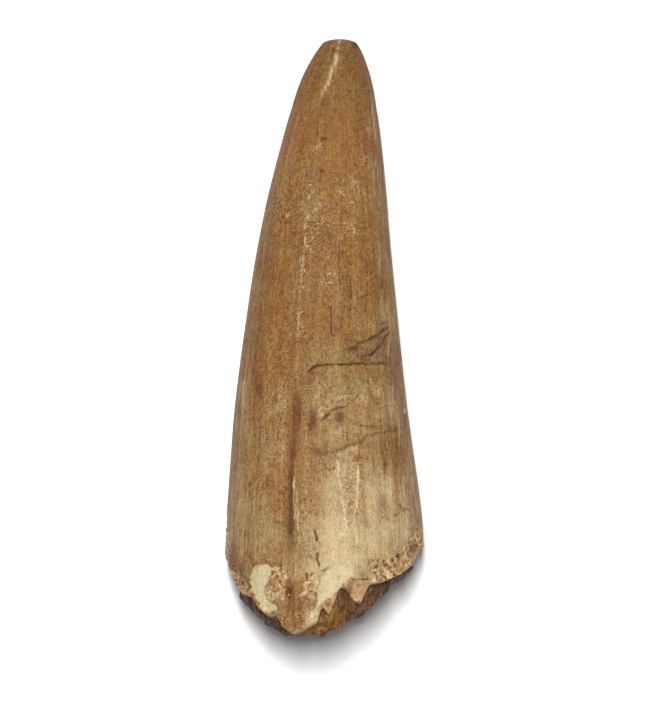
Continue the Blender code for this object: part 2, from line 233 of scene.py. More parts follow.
# Thin pale lines, where a fine edge of enamel has worn white; those along the keel and its groove are partly
# painted highlights on the crests: strength, half width, then the line.
PALE_LINES = (
    (0.2, 0.08, ((-1.4, 16.6), (-1.5, 18.6), (-1.55, 21.0), (-1.9, 23.6), (-2.05, 26.4), (-2.15, 29.0))),
    (0.9, 0.07, ((-2.62, 44.0), (-2.6, 44.9))),
    (0.5, 0.06, ((-2.6, 44.9), (-2.55, 46.4), (-2.5, 48.0))),
    (0.5, 0.06, ((-2.28, 45.4), (-2.26, 47.4), (-2.24, 49.2))),
    (0.5, 0.10, ((-2.2, 49.9), (-2.2, 50.5))),
    (0.4, 0.05, ((-2.3, 50.6), (-2.3, 51.8))),
    (0.9, 0.08, ((1.66, 42.4), (1.75, 43.6), (2.06, 45.5), (2.39, 48.1), (2.55, 48.9))),
    (0.8, 0.08, ((3.77, 42.8), (3.7, 44.5), (3.6, 46.6), (3.25, 48.4))),
    (0.7, 0.07, ((3.4, 48.0), (3.6, 50.4))),
    (0.5, 0.07, ((1.7, 36.0), (2.2, 35.75), (2.9, 35.8))),
    (0.5, 0.07, ((-0.3, 37.3), (0.1, 37.0), (0.6, 37.1))),
    (0.35, 0.06, ((0.9, 26.6), (1.6, 26.45))),
    (0.4, 0.12, ((-7.8, 34.5), (-7.75, 36.8))),
)

# Soft marks: across, depth, half width and half length in millimetres, then strength.
UPPER_PALE = (
    (0.9, 49.8, 1.6, 3.8, 0.95), (2.8, 50.6, 1.8, 3.8, 0.6), (4.6, 50.0, 1.8, 4.4, 0.6),
    (6.6, 50.0, 1.4, 4.0, 0.7), (8.4, 49.6, 1.2, 4.0, 0.7), (-5.6, 49.6, 1.6, 3.6, 0.42),
    (-7.8, 50.0, 1.0, 4.0, 0.28), (-4.6, 42.0, 1.6, 3.0, 0.24), (0.6, 44.6, 1.2, 1.6, 0.4),
    (2.4, 44.8, 1.5, 2.0, 0.36), (4.6, 44.4, 1.4, 2.2, 0.26), (7.2, 45.0, 1.4, 2.6, 0.35),
    (1.2, 36.6, 2.2, 2.2, 0.35), (4.6, 36.0, 2.2, 2.0, 0.3), (7.0, 36.4, 1.2, 2.4, 0.28),
    (1.4, 40.2, 1.2, 1.4, 0.28), (5.5, 40.5, 1.2, 1.6, 0.28), (6.2, 28.4, 1.5, 2.0, 0.28),
    (-7.9, 37.0, 0.7, 2.6, 0.3), (-8.2, 45.0, 0.9, 4.0, 0.22), (5.6, 35.4, 0.28, 0.28, 0.8),
    (5.3, 46.0, 0.25, 2.0, 0.4), (6.5, 45.2, 0.3, 1.8, 0.35), (0.9, 53.0, 2.2, 1.0, 0.5),
    (-5.0, 36.0, 2.6, 3.0, 0.12), (-0.9, 53.0, 1.2, 1.0, 0.3), (4.75, 46.7, 0.3, 3.4, 0.35),
    (6.9, 45.4, 0.3, 2.0, 0.4), (5.7, 45.0, 0.35, 1.4, 0.3), (8.2, 45.2, 0.3, 1.8, 0.25),
    (-9.3, 50.0, 0.4, 2.4, 0.4), (-1.2, 50.6, 0.8, 3.4, 0.3), (-9.0, 46.5, 0.4, 3.0, 0.25),
    (8.9, 44.0, 0.6, 4.0, 0.3), (3.2, 39.4, 1.4, 2.2, 0.25), (-2.0, 45.0, 1.0, 4.0, 0.12),
    (-2.9, 53.2, 0.8, 2.0, 0.5),
)
UPPER_OLIVE = (
    (1.6, 34.6, 3.0, 1.7, 0.9), (2.2, 31.6, 2.4, 1.2, 0.6), (5.4, 26.8, 1.5, 2.0, 0.75),
    (3.6, 28.6, 1.6, 1.6, 0.6), (-6.0, 49.0, 2.2, 4.0, 0.5), (0.6, 38.6, 2.0, 2.6, 0.5),
    (-0.9, 13.5, 0.7, 1.6, 0.45), (-1.0, 17.2, 0.8, 3.0, 0.55), (-1.2, 22.0, 0.8, 2.2, 0.4),
    (5.2, 37.0, 1.6, 2.0, 0.4), (0.2, 45.0, 1.5, 3.0, 0.3),
)
UPPER_GREY = (
    (-0.9, 13.9, 0.45, 0.6, 0.7), (5.2, 31.5, 1.6, 1.1, 0.55), (3.2, 31.6, 1.4, 0.5, 0.4),
    (1.9, 41.2, 0.9, 0.5, 0.5), (-9.55, 46.0, 0.25, 5.0, 0.4), (-8.95, 54.6, 0.2, 1.2, 0.9),
    (8.6, 38.0, 0.8, 4.0, 0.35),
)
UPPER_RUST = (
    (-2.36, 36.6, 0.34, 1.1, 1.5), (-2.36, 38.0, 0.3, 0.9, 1.4), (-2.62, 41.4, 0.26, 0.8, 1.3),
    (-2.5, 39.8, 0.36, 0.8, 0.6), (-6.35, 35.0, 0.35, 1.0, 0.5), (-6.7, 39.6, 0.15, 1.6, 0.5),
    (-8.9, 51.8, 0.5, 1.2, 0.6), (-8.4, 53.6, 0.5, 1.0, 0.5), (-7.7, 55.6, 0.35, 0.8, 0.5),
    (-0.9, 33.6, 0.35, 0.4, 0.5), (7.4, 35.0, 0.15, 2.4, 0.5), (6.9, 41.5, 0.2, 1.6, 0.3),
    (-2.4, 34.6, 0.12, 0.5, 0.7), (-0.8, 38.1, 0.3, 0.8, 1.9), (-1.05, 38.9, 0.25, 0.5, 1.0),
    (1.8, 37.95, 0.42, 0.55, 2.0), (5.7, 38.9, 0.6, 0.4, 0.5), (6.3, 40.8, 0.2, 0.6, 0.4),
    (6.4, 42.6, 0.25, 0.9, 0.85), (6.4, 46.6, 0.4, 1.2, 0.35), (-6.3, 35.2, 0.45, 0.8, 0.5),
    (-6.5, 37.4, 0.25, 1.6, 0.4), (-1.2, 34.2, 0.5, 0.8, 0.35), (-1.3, 30.5, 0.35, 1.6, 0.3),
    (1.0, 28.6, 0.35, 1.6, 0.45), (0.6, 26.4, 0.3, 0.9, 0.3), (2.8, 27.4, 0.25, 0.8, 0.4),
    (9.2, 51.0, 0.6, 0.9, 0.8), (-4.9, 22.6, 0.5, 1.6, 0.4), (-3.6, 20.6, 0.3, 1.0, 0.3),
    (3.9, 8.2, 0.5, 2.4, 0.35), (5.0, 11.0, 0.5, 1.6, 0.3), (0.2, 19.6, 1.2, 1.0, 0.35),
    (1.6, 20.8, 1.0, 1.6, 0.25), (-0.6, 41.4, 0.6, 0.3, 0.4), (-1.0, 35.4, 0.2, 2.0, 0.25),
    (7.4, 33.6, 0.4, 2.6, 0.3), (-2.45, 50.4, 0.3, 1.0, 0.2), (-2.4, 37.3, 0.26, 1.6, 1.2),
    (-2.6, 41.0, 0.24, 1.6, 0.9), (-3.15, 55.4, 0.55, 0.75, 1.4), (-4.4, 54.6, 1.2, 1.5, 0.28),
    (-1.1, 56.0, 0.8, 0.8, 0.6), (-2.4, 56.7, 0.8, 0.7, 0.35), (-8.9, 51.4, 0.5, 1.0, 0.3),
    (7.4, 52.7, 0.5, 0.6, 0.4), (5.6, 40.7, 0.8, 0.5, 0.4), (0.3, 40.9, 1.0, 0.4, 0.4),
    (-8.6, 33.0, 0.3, 5.0, 0.2), (-1.6, 20.8, 1.0, 0.8, 0.2), (6.5, 48.1, 0.35, 0.7, 0.5),
    (7.5, 45.4, 0.25, 1.5, 0.3), (6.9, 50.7, 0.4, 1.3, 0.4), (5.4, 43.4, 0.2, 1.6, 0.3),
    (3.3, 45.2, 0.2, 3.0, 0.15), (8.0, 43.0, 0.25, 2.0, 0.3), (9.3, 46.4, 0.15, 3.0, 0.35),
)
UPPER_PLUM = (
    (-2.96, 46.2, 0.2, 2.8, 1.5), (-2.85, 48.6, 0.26, 1.3, 0.9), (-3.3, 48.8, 0.5, 1.4, 0.3),
    (-2.85, 43.9, 0.3, 0.9, 0.8), (-2.55, 46.6, 0.06, 2.2, 0.8), (4.45, 48.4, 0.36, 0.8, 0.5),
    (6.3, 46.5, 0.4, 0.9, 0.5), (5.9, 30.0, 0.9, 0.6, 0.3), (-6.6, 31.0, 0.3, 3.0, 0.2),
)
# The mark at the tip's right shoulder, (3.4, 0.55), is painted shade at the tip's edge.
UPPER_UMBER = (
    (-3.25, 55.4, 0.36, 0.5, 0.5), (-3.3, 57.0, 0.25, 0.6, 0.4), (-8.5, 53.8, 0.5, 0.8, 0.75),
    (-8.9, 52.9, 0.3, 0.5, 0.6), (-8.0, 54.4, 0.35, 0.5, 0.5), (-9.2, 52.0, 0.3, 1.0, 0.5),
    (-7.3, 54.6, 0.2, 0.9, 0.5), (0.34, 10.05, 0.22, 0.13, 1.5), (-0.25, 9.6, 0.08, 0.4, 1.0),
    (0.02, 13.3, 0.15, 0.14, 1.4), (-1.48, 13.7, 0.1, 0.2, 1.1), (-1.59, 7.45, 0.12, 0.2, 0.7),
    (0.29, 6.5, 0.14, 0.4, 0.5), (-1.1, 14.9, 0.2, 0.07, 0.6), (6.05, 24.85, 0.16, 0.3, 0.6),
    (6.2, 22.6, 0.2, 0.3, 0.4), (3.4, 0.55, 0.35, 0.5, 1.2), (1.2, 1.15, 0.14, 0.2, 0.9),
    (-0.6, 20.0, 0.16, 0.12, 0.6), (4.3, 18.9, 0.2, 0.1, 0.5), (-1.0, 55.45, 0.2, 0.16, 0.9),
    (-1.25, 55.0, 0.12, 0.1, 0.6), (-0.1, 54.6, 0.09, 0.18, 0.8), (7.85, 51.9, 0.26, 0.34, 1.5),
    (7.97, 52.5, 0.09, 0.2, 0.8), (7.24, 52.25, 0.2, 0.16, 1.4), (6.63, 52.7, 0.2, 0.2, 1.3),
    (6.4, 52.4, 0.15, 0.15, 1.1), (5.56, 52.95, 0.12, 0.16, 1.2), (5.75, 52.25, 0.12, 0.14, 1.1),
    (4.87, 52.5, 0.22, 0.28, 0.5), (5.17, 52.25, 0.08, 0.08, 0.7), (7.74, 50.95, 0.08, 0.08, 0.8),
    (4.1, 53.6, 0.35, 0.2, 0.35), (-4.47, 53.86, 0.15, 0.16, 1.2), (-4.93, 53.6, 0.14, 0.12, 1.1),
    (-4.65, 53.4, 0.06, 0.08, 0.7), (-4.1, 52.8, 0.12, 0.1, 0.7), (-5.6, 52.45, 0.1, 0.08, 0.8),
    (-6.85, 52.8, 0.14, 0.1, 0.7), (-4.17, 54.4, 0.12, 0.12, 1.1), (-5.0, 52.95, 0.1, 0.08, 0.7),
    (-4.7, 55.4, 0.14, 0.1, 1.2), (-5.45, 55.3, 0.07, 0.09, 0.8), (-5.1, 55.85, 0.16, 0.12, 1.1),
    (-3.95, 55.4, 0.08, 0.1, 0.6), (-6.4, 46.6, 0.06, 1.2, 0.3), (0.6, 33.0, 0.12, 0.1, 0.5),
    (-4.6, 33.0, 0.12, 0.1, 0.5), (-2.4, 15.8, 0.2, 0.2, 0.4), (0.45, 39.4, 0.12, 0.1, 0.5),
    (5.86, 38.3, 0.14, 0.07, 0.6), (3.3, 39.6, 0.3, 0.16, 0.45), (-0.8, 38.1, 0.22, 0.6, 0.35),
    (1.8, 37.9, 0.3, 0.4, 0.35),
)
UPPER_GOLD = (
    (1.0, 9.0, 1.0, 4.0, 0.7), (0.7, 14.0, 1.1, 2.0, 0.7), (-0.2, 19.9, 0.5, 0.4, 0.7),
    (0.7, 25.4, 0.9, 1.0, 0.5), (-1.0, 19.8, 0.4, 1.0, 0.6), (-2.4, 58.0, 0.9, 1.1, 0.9),
    (-1.9, 57.4, 0.5, 0.6, 0.7), (0.1, 27.2, 0.8, 1.2, 0.35), (-1.0, 29.6, 0.7, 1.4, 0.35),
    (-5.2, 28.0, 2.0, 6.0, 0.12), (3.2, 22.0, 1.2, 2.6, 0.3), (0.4, 20.4, 2.2, 4.5, 0.45),
    (0.0, 28.0, 1.6, 3.0, 0.25),
)
UPPER_MILK = (
    (1.9, 52.9, 1.3, 0.9, 0.9), (2.6, 52.2, 0.9, 1.0, 0.5), (1.0, 54.4, 1.2, 1.0, 0.7),
    (-0.3, 54.6, 0.5, 0.8, 0.4), (0.6, 51.6, 1.0, 1.0, 0.25), (3.6, 51.6, 0.8, 1.2, 0.25),
    (-5.2, 55.9, 0.9, 0.8, 0.5), (-0.8, 57.9, 0.6, 0.9, 1.2), (-6.9, 53.6, 0.3, 0.8, 0.4),
    (-9.0, 55.0, 0.15, 1.2, 0.5), (3.4, 46.4, 0.12, 1.6, 0.5), (3.5, 49.0, 0.2, 0.8, 0.5),
    (5.35, 44.8, 0.16, 1.4, 0.5), (6.65, 45.6, 0.17, 0.8, 0.6), (4.7, 44.5, 0.08, 0.4, 0.5),
    (8.2, 49.6, 0.15, 0.9, 0.3), (1.3, 43.6, 0.2, 2.0, 0.2), (0.6, 46.6, 0.5, 2.4, 0.15),
)
UPPER_GRIT = (
    (-0.9, 18.5, 0.8, 0.4, 0.8), (0.6, 18.6, 1.0, 0.35, 0.9), (-0.6, 19.6, 0.5, 0.6, 0.9),
    (2.8, 19.3, 0.7, 0.6, 0.9), (4.0, 18.7, 0.4, 0.35, 0.7), (0.6, 21.9, 0.4, 0.3, 0.6),
    (1.1, 23.7, 0.6, 0.5, 0.6), (0.9, 24.4, 0.9, 0.3, 0.4), (-4.4, 17.0, 0.6, 0.8, 0.4),
    (-1.2, 20.8, 0.3, 0.8, 0.8), (-1.9, 22.4, 0.3, 1.4, 0.8), (-1.3, 15.2, 0.4, 0.9, 0.8),
    (-0.5, 11.2, 0.5, 0.6, 0.7), (2.0, 15.4, 0.5, 0.5, 0.5), (0.0, 16.6, 0.5, 0.4, 0.4),
    (4.4, 12.2, 0.6, 1.2, 0.5), (4.3, 8.4, 0.4, 0.8, 0.4), (-2.1, 27.9, 0.35, 1.6, 0.8),
    (-1.9, 29.8, 0.3, 1.2, 0.4), (-1.0, 34.8, 0.8, 2.2, 0.3), (-4.0, 35.6, 0.6, 1.0, 0.3),
    (-0.1, 42.4, 1.3, 0.6, 0.4), (-1.6, 47.6, 0.35, 2.6, 0.8), (5.5, 43.6, 0.6, 0.8, 0.5),
    (0.7, 4.0, 0.8, 1.2, 0.3), (6.2, 47.4, 0.6, 1.2, 0.5), (1.5, 52.4, 1.6, 0.8, 0.3),
    (-5.5, 55.0, 0.7, 0.7, 0.5), (0.8, 21.0, 3.6, 6.0, 0.17), (-3.6, 17.0, 1.2, 3.0, 0.25),
    (-4.2, 36.0, 1.6, 4.0, 0.2), (-2.2, 58.2, 1.0, 1.2, 0.8), (-3.8, 57.8, 0.8, 0.9, 0.8),
    (-1.6, 55.4, 0.8, 0.8, 0.5), (3.0, 45.0, 0.8, 3.4, 0.3),
)
# Pale specks and painted highlights: the chain along the keel near the tip, and the whitish glints on the
# keel and the flank striae, are painted highlights.
UPPER_HIGHLIGHTS_AND_SPECKS = (
    (1.5, 1.9, 0.2, 0.36, 0.8), (1.4, 2.5, 0.18, 0.36, 0.7), (1.05, 3.15, 0.16, 0.38, 0.7),
    (0.92, 3.8, 0.14, 0.38, 0.7), (0.75, 4.4, 0.14, 0.34, 0.8), (0.45, 4.95, 0.15, 0.34, 0.6),
    (0.15, 5.55, 0.16, 0.36, 0.5), (1.8, 0.3, 0.12, 0.16, 0.8), (1.7, 1.0, 0.14, 0.14, 0.5),
    (-0.05, 10.6, 0.05, 0.16, 0.7), (-0.4, 10.85, 0.14, 0.06, 0.6), (-0.75, 24.25, 0.1, 0.06, 0.6),
    (0.1, 24.4, 0.12, 0.1, 0.5), (0.95, 24.4, 0.2, 0.06, 0.7), (-0.4, 19.55, 0.14, 0.07, 0.7),
    (3.25, 19.45, 0.1, 0.14, 0.7), (2.05, 20.05, 0.08, 0.12, 0.6), (2.35, 21.15, 0.08, 0.07, 0.6),
    (-0.15, 16.6, 0.12, 0.14, 0.6), (3.05, 16.4, 0.16, 0.08, 0.5), (3.4, 13.3, 0.12, 0.12, 0.4),
    (3.4, 14.35, 0.16, 0.08, 0.5), (-3.8, 17.0, 0.08, 0.1, 0.5), (-3.4, 17.75, 0.12, 0.25, 0.5),
    (-2.6, 15.8, 0.1, 0.14, 0.4), (4.2, 15.6, 0.07, 0.1, 0.5), (5.4, 12.2, 0.05, 0.5, 0.5),
    (5.6, 13.6, 0.05, 0.6, 0.6), (5.8, 14.9, 0.05, 0.5, 0.5), (5.2, 13.6, 0.04, 0.5, 0.4),
    (6.75, 31.0, 0.05, 1.2, 0.4), (7.8, 39.5, 0.05, 1.4, 0.4), (7.15, 35.5, 0.05, 1.6, 0.3),
    (5.05, 7.2, 0.07, 0.6, 0.6), (5.2, 8.5, 0.06, 0.7, 0.6), (5.35, 9.8, 0.06, 0.5, 0.5),
    (4.5, 9.1, 0.05, 0.3, 0.4), (8.3, 36.0, 0.05, 1.6, 0.3), (5.9, 22.0, 0.05, 1.2, 0.3),
    (-1.57, 7.95, 0.05, 0.05, 0.9), (-1.12, 14.28, 0.08, 0.08, 0.8), (-1.04, 14.72, 0.1, 0.08, 0.7),
    (-1.14, 15.9, 0.05, 0.2, 0.7), (-1.23, 17.85, 0.07, 0.25, 0.9), (-1.5, 18.8, 0.14, 0.2, 0.6),
    (-1.5, 20.2, 0.07, 0.3, 0.8), (-1.3, 20.8, 0.12, 0.12, 0.7), (-2.0, 22.1, 0.08, 0.22, 0.95),
    (-1.85, 22.75, 0.12, 0.1, 0.8), (-1.56, 23.2, 0.06, 0.2, 0.6), (-1.75, 24.85, 0.16, 0.08, 0.6),
    (-2.04, 25.7, 0.05, 0.4, 0.4), (-2.18, 28.5, 0.12, 0.08, 0.8), (-2.2, 27.6, 0.06, 0.25, 0.4),
    (-1.5, 29.8, 0.1, 0.07, 0.7), (0.67, 21.9, 0.12, 0.1, 0.8), (1.25, 23.6, 0.1, 0.08, 0.7),
    (1.9, 15.35, 0.14, 0.08, 0.6), (2.3, 15.7, 0.1, 0.1, 0.6), (-0.5, 17.1, 0.14, 0.14, 0.6),
    (2.3, 18.5, 0.15, 0.12, 0.5), (3.3, 19.1, 0.08, 0.12, 0.7), (1.3, 17.3, 0.1, 0.1, 0.4),
    (4.3, 12.0, 0.06, 0.3, 0.5), (4.65, 12.9, 0.05, 0.2, 0.5), (4.75, 9.0, 0.05, 0.6, 0.4),
    (0.38, 34.7, 0.07, 0.06, 0.8), (2.4, 35.95, 0.2, 0.08, 0.5), (0.05, 37.6, 0.2, 0.2, 0.6),
    (8.36, 37.3, 0.06, 0.2, 0.8), (-4.8, 49.25, 0.07, 0.12, 0.9), (-1.2, 47.7, 0.09, 0.06, 0.5),
    (-8.55, 53.75, 0.06, 0.12, 0.7), (-7.8, 55.3, 0.08, 0.16, 0.7), (-8.2, 55.9, 0.08, 0.2, 0.6),
    (-1.3, 42.7, 0.05, 0.2, 0.5), (3.1, 45.2, 0.12, 0.1, 0.5), (3.05, 48.8, 0.2, 0.2, 0.7),
    (-2.9, 59.0, 0.1, 0.2, 0.5), (-2.95, 57.4, 0.07, 0.3, 0.5), (1.55, 39.5, 0.2, 0.12, 0.4),
    (3.45, 38.9, 0.1, 0.06, 0.5), (3.6, 41.0, 0.15, 0.4, 0.3),
)
UPPER_LIFT = ((2.4, 36.0, 0.75, 0.32, 1.0), (1.3, 36.75, 0.6, 0.3, 0.9), (0.2, 37.6, 0.35, 0.4, 0.9))
LOWER_PALE = ((-2.0, 50.0, 4.5, 6.0, 0.9), (4.0, 45.0, 3.5, 5.0, 0.6), (-4.0, 36.0, 3.0, 5.0, 0.35))
LOWER_OLIVE = ((0.0, 34.0, 4.0, 4.0, 0.5), (-3.0, 14.0, 1.6, 5.0, 0.4))
LOWER_GREY = ((5.0, 30.5, 2.0, 1.6, 0.4),)
LOWER_RUST = (
    (2.6, 38.0, 0.5, 4.0, 0.8), (2.9, 47.0, 0.5, 3.0, 0.7), (-5.6, 41.0, 0.8, 2.6, 0.5),
    (0.5, 24.0, 1.4, 3.0, 0.35), (-6.8, 50.0, 0.9, 1.6, 0.6),
)
LOWER_PLUM = ((2.3, 42.6, 0.3, 2.4, 0.8), (-4.8, 31.0, 0.8, 1.6, 0.3))
LOWER_UMBER = (
    (-4.4, 52.6, 0.9, 0.8, 0.8), (5.8, 52.4, 1.0, 0.9, 0.8), (-2.0, 30.4, 2.4, 0.8, 0.3),
    (3.0, 22.4, 0.3, 0.3, 0.7), (-3.8, 18.6, 0.25, 0.2, 0.7), (0.4, 45.2, 0.3, 0.2, 0.6),
)
LOWER_GOLD = ((1.2, 12.0, 2.0, 6.0, 0.6), (-2.4, 22.0, 1.6, 4.0, 0.4))
LOWER_GRIT = (
    (-2.2, 18.0, 1.2, 0.6, 0.9), (1.6, 21.0, 0.8, 0.9, 0.8), (3.8, 33.0, 1.0, 1.0, 0.6),
    (-4.8, 46.2, 1.4, 0.9, 0.6),
)
LOWER_HIGHLIGHTS_AND_SPECKS = (
    (-2.2, 9.0, 0.1, 0.6, 0.7), (-2.4, 14.0, 0.1, 0.5, 0.7), (-2.5, 20.5, 0.1, 0.6, 0.7),
    (-2.6, 27.0, 0.12, 0.5, 0.6),
)

# Patches where the enamel has flaked away down to chalky dentine: outlines.
UPPER_CHALK = (
    (
        (-6.55, 52.65), (-5.3, 52.6), (-4.95, 53.1), (-5.1, 53.7), (-5.35, 54.4), (-5.75, 54.9),
        (-5.7, 55.6), (-5.2, 56.4), (-4.5, 56.6), (-4.3, 57.0), (-4.75, 57.35), (-5.5, 57.5),
        (-5.95, 57.15), (-6.25, 56.45), (-6.7, 55.7), (-7.05, 55.1), (-7.15, 54.0), (-6.9, 53.4),
    ),
    (
        (-0.1, 54.0), (0.5, 53.2), (1.3, 52.7), (2.4, 52.5), (3.1, 53.1), (3.05, 53.8), (2.3, 54.5),
        (1.85, 54.9), (1.5, 55.5), (1.15, 55.9), (0.5, 56.15), (0.1, 56.5), (-0.1, 56.9), (-0.5, 56.9),
        (-0.4, 56.3), (-0.45, 55.2),
    ),
)
LOWER_CHALK = (
    (
        (-5.8, 49.9), (-4.4, 49.0), (-3.4, 49.2), (-2.4, 50.8), (-2.6, 52.4), (-3.2, 53.8),
        (-5.2, 54.2), (-6.0, 52.0),
    ),
    ((3.1, 30.2), (4.6, 28.9), (5.8, 31.0), (5.4, 33.4), (4.6, 34.8), (3.7, 33.4)),
)

# Patches crusted with cemented sand, besides the band along the break: outlines.
UPPER_CRUST = (
    (
        (-5.1, 53.0), (-4.6, 52.85), (-3.7, 52.9), (-3.25, 53.6), (-3.2, 54.4), (-3.0, 54.8),
        (-2.5, 54.9), (-2.7, 55.8), (-3.3, 56.0), (-4.0, 56.2), (-4.6, 56.3), (-5.3, 56.1),
        (-5.6, 55.4), (-5.4, 54.8), (-5.1, 54.2), (-5.3, 53.6),
    ),
    (
        (-1.6, 54.4), (-1.5, 53.9), (-0.8, 53.5), (-0.2, 53.9), (-0.1, 54.8), (-0.5, 55.5),
        (-0.6, 56.2), (-1.2, 56.6), (-1.9, 56.2), (-2.2, 55.9), (-1.8, 55.2),
    ),
)
LOWER_CRUST = (
    ((2.1, 52.0), (4.4, 50.6), (7.3, 51.2), (7.6, 53.6), (4.0, 56.0), (2.4, 55.0)),
    ((-1.6, 45.6), (-0.2, 45.0), (0.8, 46.1), (-0.2, 47.4), (-1.4, 47.0)),
)
# Width of that band in millimetres at each angle in degrees; below zero there is none.
CRUST_BAND = (
    (-180, 1.2), (-150, 2.0), (-120, 1.6), (-100, 4.2), (-84, 3.6), (-66, 2.2), (-52, 1.6),
    (-44, -0.6), (-30, -1.0), (12, -1.0), (17, 0.3), (24, 1.6), (38, 1.9), (52, 2.4), (62, 2.9),
    (75, 2.4), (90, 1.6), (110, 2.6), (150, 1.0), (180, 1.2),
)

# Sloping breaks through the outer layer: how far it falls, the edge it starts from, then the outline.
UPPER_FACETS = (
    (
        0.9, ((2.3, 54.35), (5.05, 54.2)),
        ((2.5, 54.4), (3.2, 54.25), (5.05, 54.15), (5.2, 54.6), (4.8, 56.3), (3.6, 56.3), (2.9, 55.2)),
    ),
    (
        0.8, ((0.1, 56.4), (1.5, 55.8)),
        ((0.1, 56.45), (0.8, 56.1), (1.6, 55.7), (1.5, 57.6), (0.1, 57.6)),
    ),
    (
        0.9, ((-1.9, 58.75), (-0.1, 56.6)),
        ((-1.9, 58.75), (-1.3, 57.9), (-0.7, 57.1), (-0.1, 56.7), (0.2, 57.8), (-1.6, 60.0)),
    ),
)
# The rough strip beside the keel, where the enamel's skin has worn through.
UPPER_ROUGH = (
    (1.75, 41.7), (2.3, 41.2), (3.6, 40.9), (3.75, 44.5), (3.55, 46.6), (3.15, 48.6), (2.6, 48.7),
    (2.35, 47.8), (2.05, 45.5), (1.7, 43.0),
)

# Every kind of mark, as seen from above and from below.
SOFT_MARKS = {
    "pale": (UPPER_PALE, LOWER_PALE),
    "olive": (UPPER_OLIVE, LOWER_OLIVE),
    "grey": (UPPER_GREY, LOWER_GREY),
    "rust": (UPPER_RUST, LOWER_RUST),
    "plum": (UPPER_PLUM, LOWER_PLUM),
    "umber": (UPPER_UMBER, LOWER_UMBER),
    "gold": (UPPER_GOLD, LOWER_GOLD),
    "milk": (UPPER_MILK, ()),
    "grit": (UPPER_GRIT, LOWER_GRIT),
    "highlight_and_speck": (UPPER_HIGHLIGHTS_AND_SPECKS, LOWER_HIGHLIGHTS_AND_SPECKS),
    "lift": (UPPER_LIFT, ()),
}
PATCHES = {
    "chalk": (UPPER_CHALK, LOWER_CHALK),
    "crust": (UPPER_CRUST, LOWER_CRUST),
    "peach": ([outline for _, _, outline in UPPER_FACETS], ()),
    "rough": ((UPPER_ROUGH,), ()),
}

# Mesh density: segments round the tooth, and rings in each stretch from the tip to the end face.
SEGMENTS = 280
TIP_RINGS = 6
SIDE_RINGS = 200
LEDGE_RINGS = 6
CORE_RINGS = 12
FACE_RINGS = 26
SIDE_PACE = ((0.0, 0.0), (0.68, 0.81), (1.0, 1.0))
RIM_FOLLOW_START = 0.55
UPPER_CROWDING = 0.40

# Faces within this reach of a crack or a mark narrower than FINE_MARK millimetres are cut smaller.
FINE_REACH = 0.16 * MM
FINE_CUTS = 2
FINE_MARK = 0.2
FINE_SHARE = 0.8
SORT_STEPS = 12

SMALL_MARKS = [
    mark for marks in (UPPER_UMBER, UPPER_HIGHLIGHTS_AND_SPECKS, UPPER_RUST, UPPER_PLUM) for mark in marks
    if min(mark[2:4]) < FINE_MARK
]

# Distances from marks are held at this, past which no mark reaches.
FAR = 3.0 * MM

# Cosines of the angles between which the marks seen from above give way to those seen from below.
BELOW, ABOVE = -0.30, 0.05

SMOOTH_ANGLE = math.radians(42)

# Patterns of the finishes: sizes in millimetres, for the striae round, round and along the tooth. Growth
# striae are under 0.1 mm apart and the enamel's pits finer still, too fine to show, so the finest patterns
# are drawn as coarse as they need to be.
STRIAE = {
    "hair": (0.17, 0.17, 2.2), "stria": (0.36, 0.36, 5.0), "strand": (0.8, 0.8, 8.0),
    "broad": (2.4, 2.4, 18.0),
}
MOTTLES = {
    "cloud": (3.0, 3.0, 3.0), "mottle": (0.9, 0.9, 0.9), "grit": (0.42, 0.42, 0.42),
    "speck": (0.17, 0.17, 0.17), "dash": (0.15, 0.8, 0.15),
}
DENTINE_PATTERNS = {"patch": (1.4, 1.4, 1.4), "speck": (0.3, 0.3, 0.3)}
CORE_PATTERNS = {"patch": (1.1, 1.1, 1.1), "speck": (0.2, 0.2, 0.2), "fleck": (0.16, 0.7, 0.3)}
CRUST_GRAIN = 0.40 * MM

# Nearly all of a noise lies between these.
NOISE_LOW, NOISE_HIGH = 0.3, 0.7

# How much each pattern changes the enamel's lightness: on top of the tooth, then on its flanks, where the
# stronger striae are partly painted light and shade that the fine ridges catch.
MOTTLING = {
    "hair": (0.12, 0.56), "stria": (0.08, 0.32), "dash": (0.28, 0.32), "strand": (0.07, 0.09),
    "broad": (0.03, 0.03), "cloud": (0.05, 0.05), "mottle": (0.14, 0.12), "grit": (0.19, 0.17),
    "speck": (0.42, 0.46),
}
# Red darkens less than blue, so dark striae are browner.
CHANNEL_CONTRAST = (0.84, 1.0, 1.14)
DARKEST = 0.35
REDDER = (1.04, 0.98, 0.93, 1.0)
GREENER = (0.97, 1.01, 1.03, 1.0)

# Zones of the core from left to right: where each starts in millimetres, and how wide its edge is.
AMBER_START, RED_BROWN_START, ASH_START = -3.6, 1.4, 4.0
ZONE_EDGE = 1.4
ZONE_SHAKE = 1.2 * MM

SAND_SEED = 5
GRAIN_UNEVENNESS = 0.10

# The studio's lights: place, width and length.
KEY_LIGHT = ((-0.016, 0.165, 1.05), 0.07, 0.27)
GLINT_LIGHT = ((-0.28, 0.50, 0.85), 0.12, 0.12)


def linear(code):
    """Linear RGB of an sRGB hex colour."""
    channels = [int(code[place:place + 2], 16) / 255.0 for place in (1, 3, 5)]
    return tuple(c / 12.92 if c <= 0.04045 else ((c + 0.055) / 1.055) ** 2.4 for c in channels)


def colour_property(name, description, code):
    """Colour setting with an sRGB hex default."""
    return FloatVectorProperty(
        name=name, description=description, subtype="COLOR", size=3, min=0.0, max=1.0, default=linear(code)
    )


def length_property(name, description, default):
    """Length setting in metres."""
    return FloatProperty(
        name=name, description=description, subtype="DISTANCE", unit="LENGTH", precision=5, default=default
    )


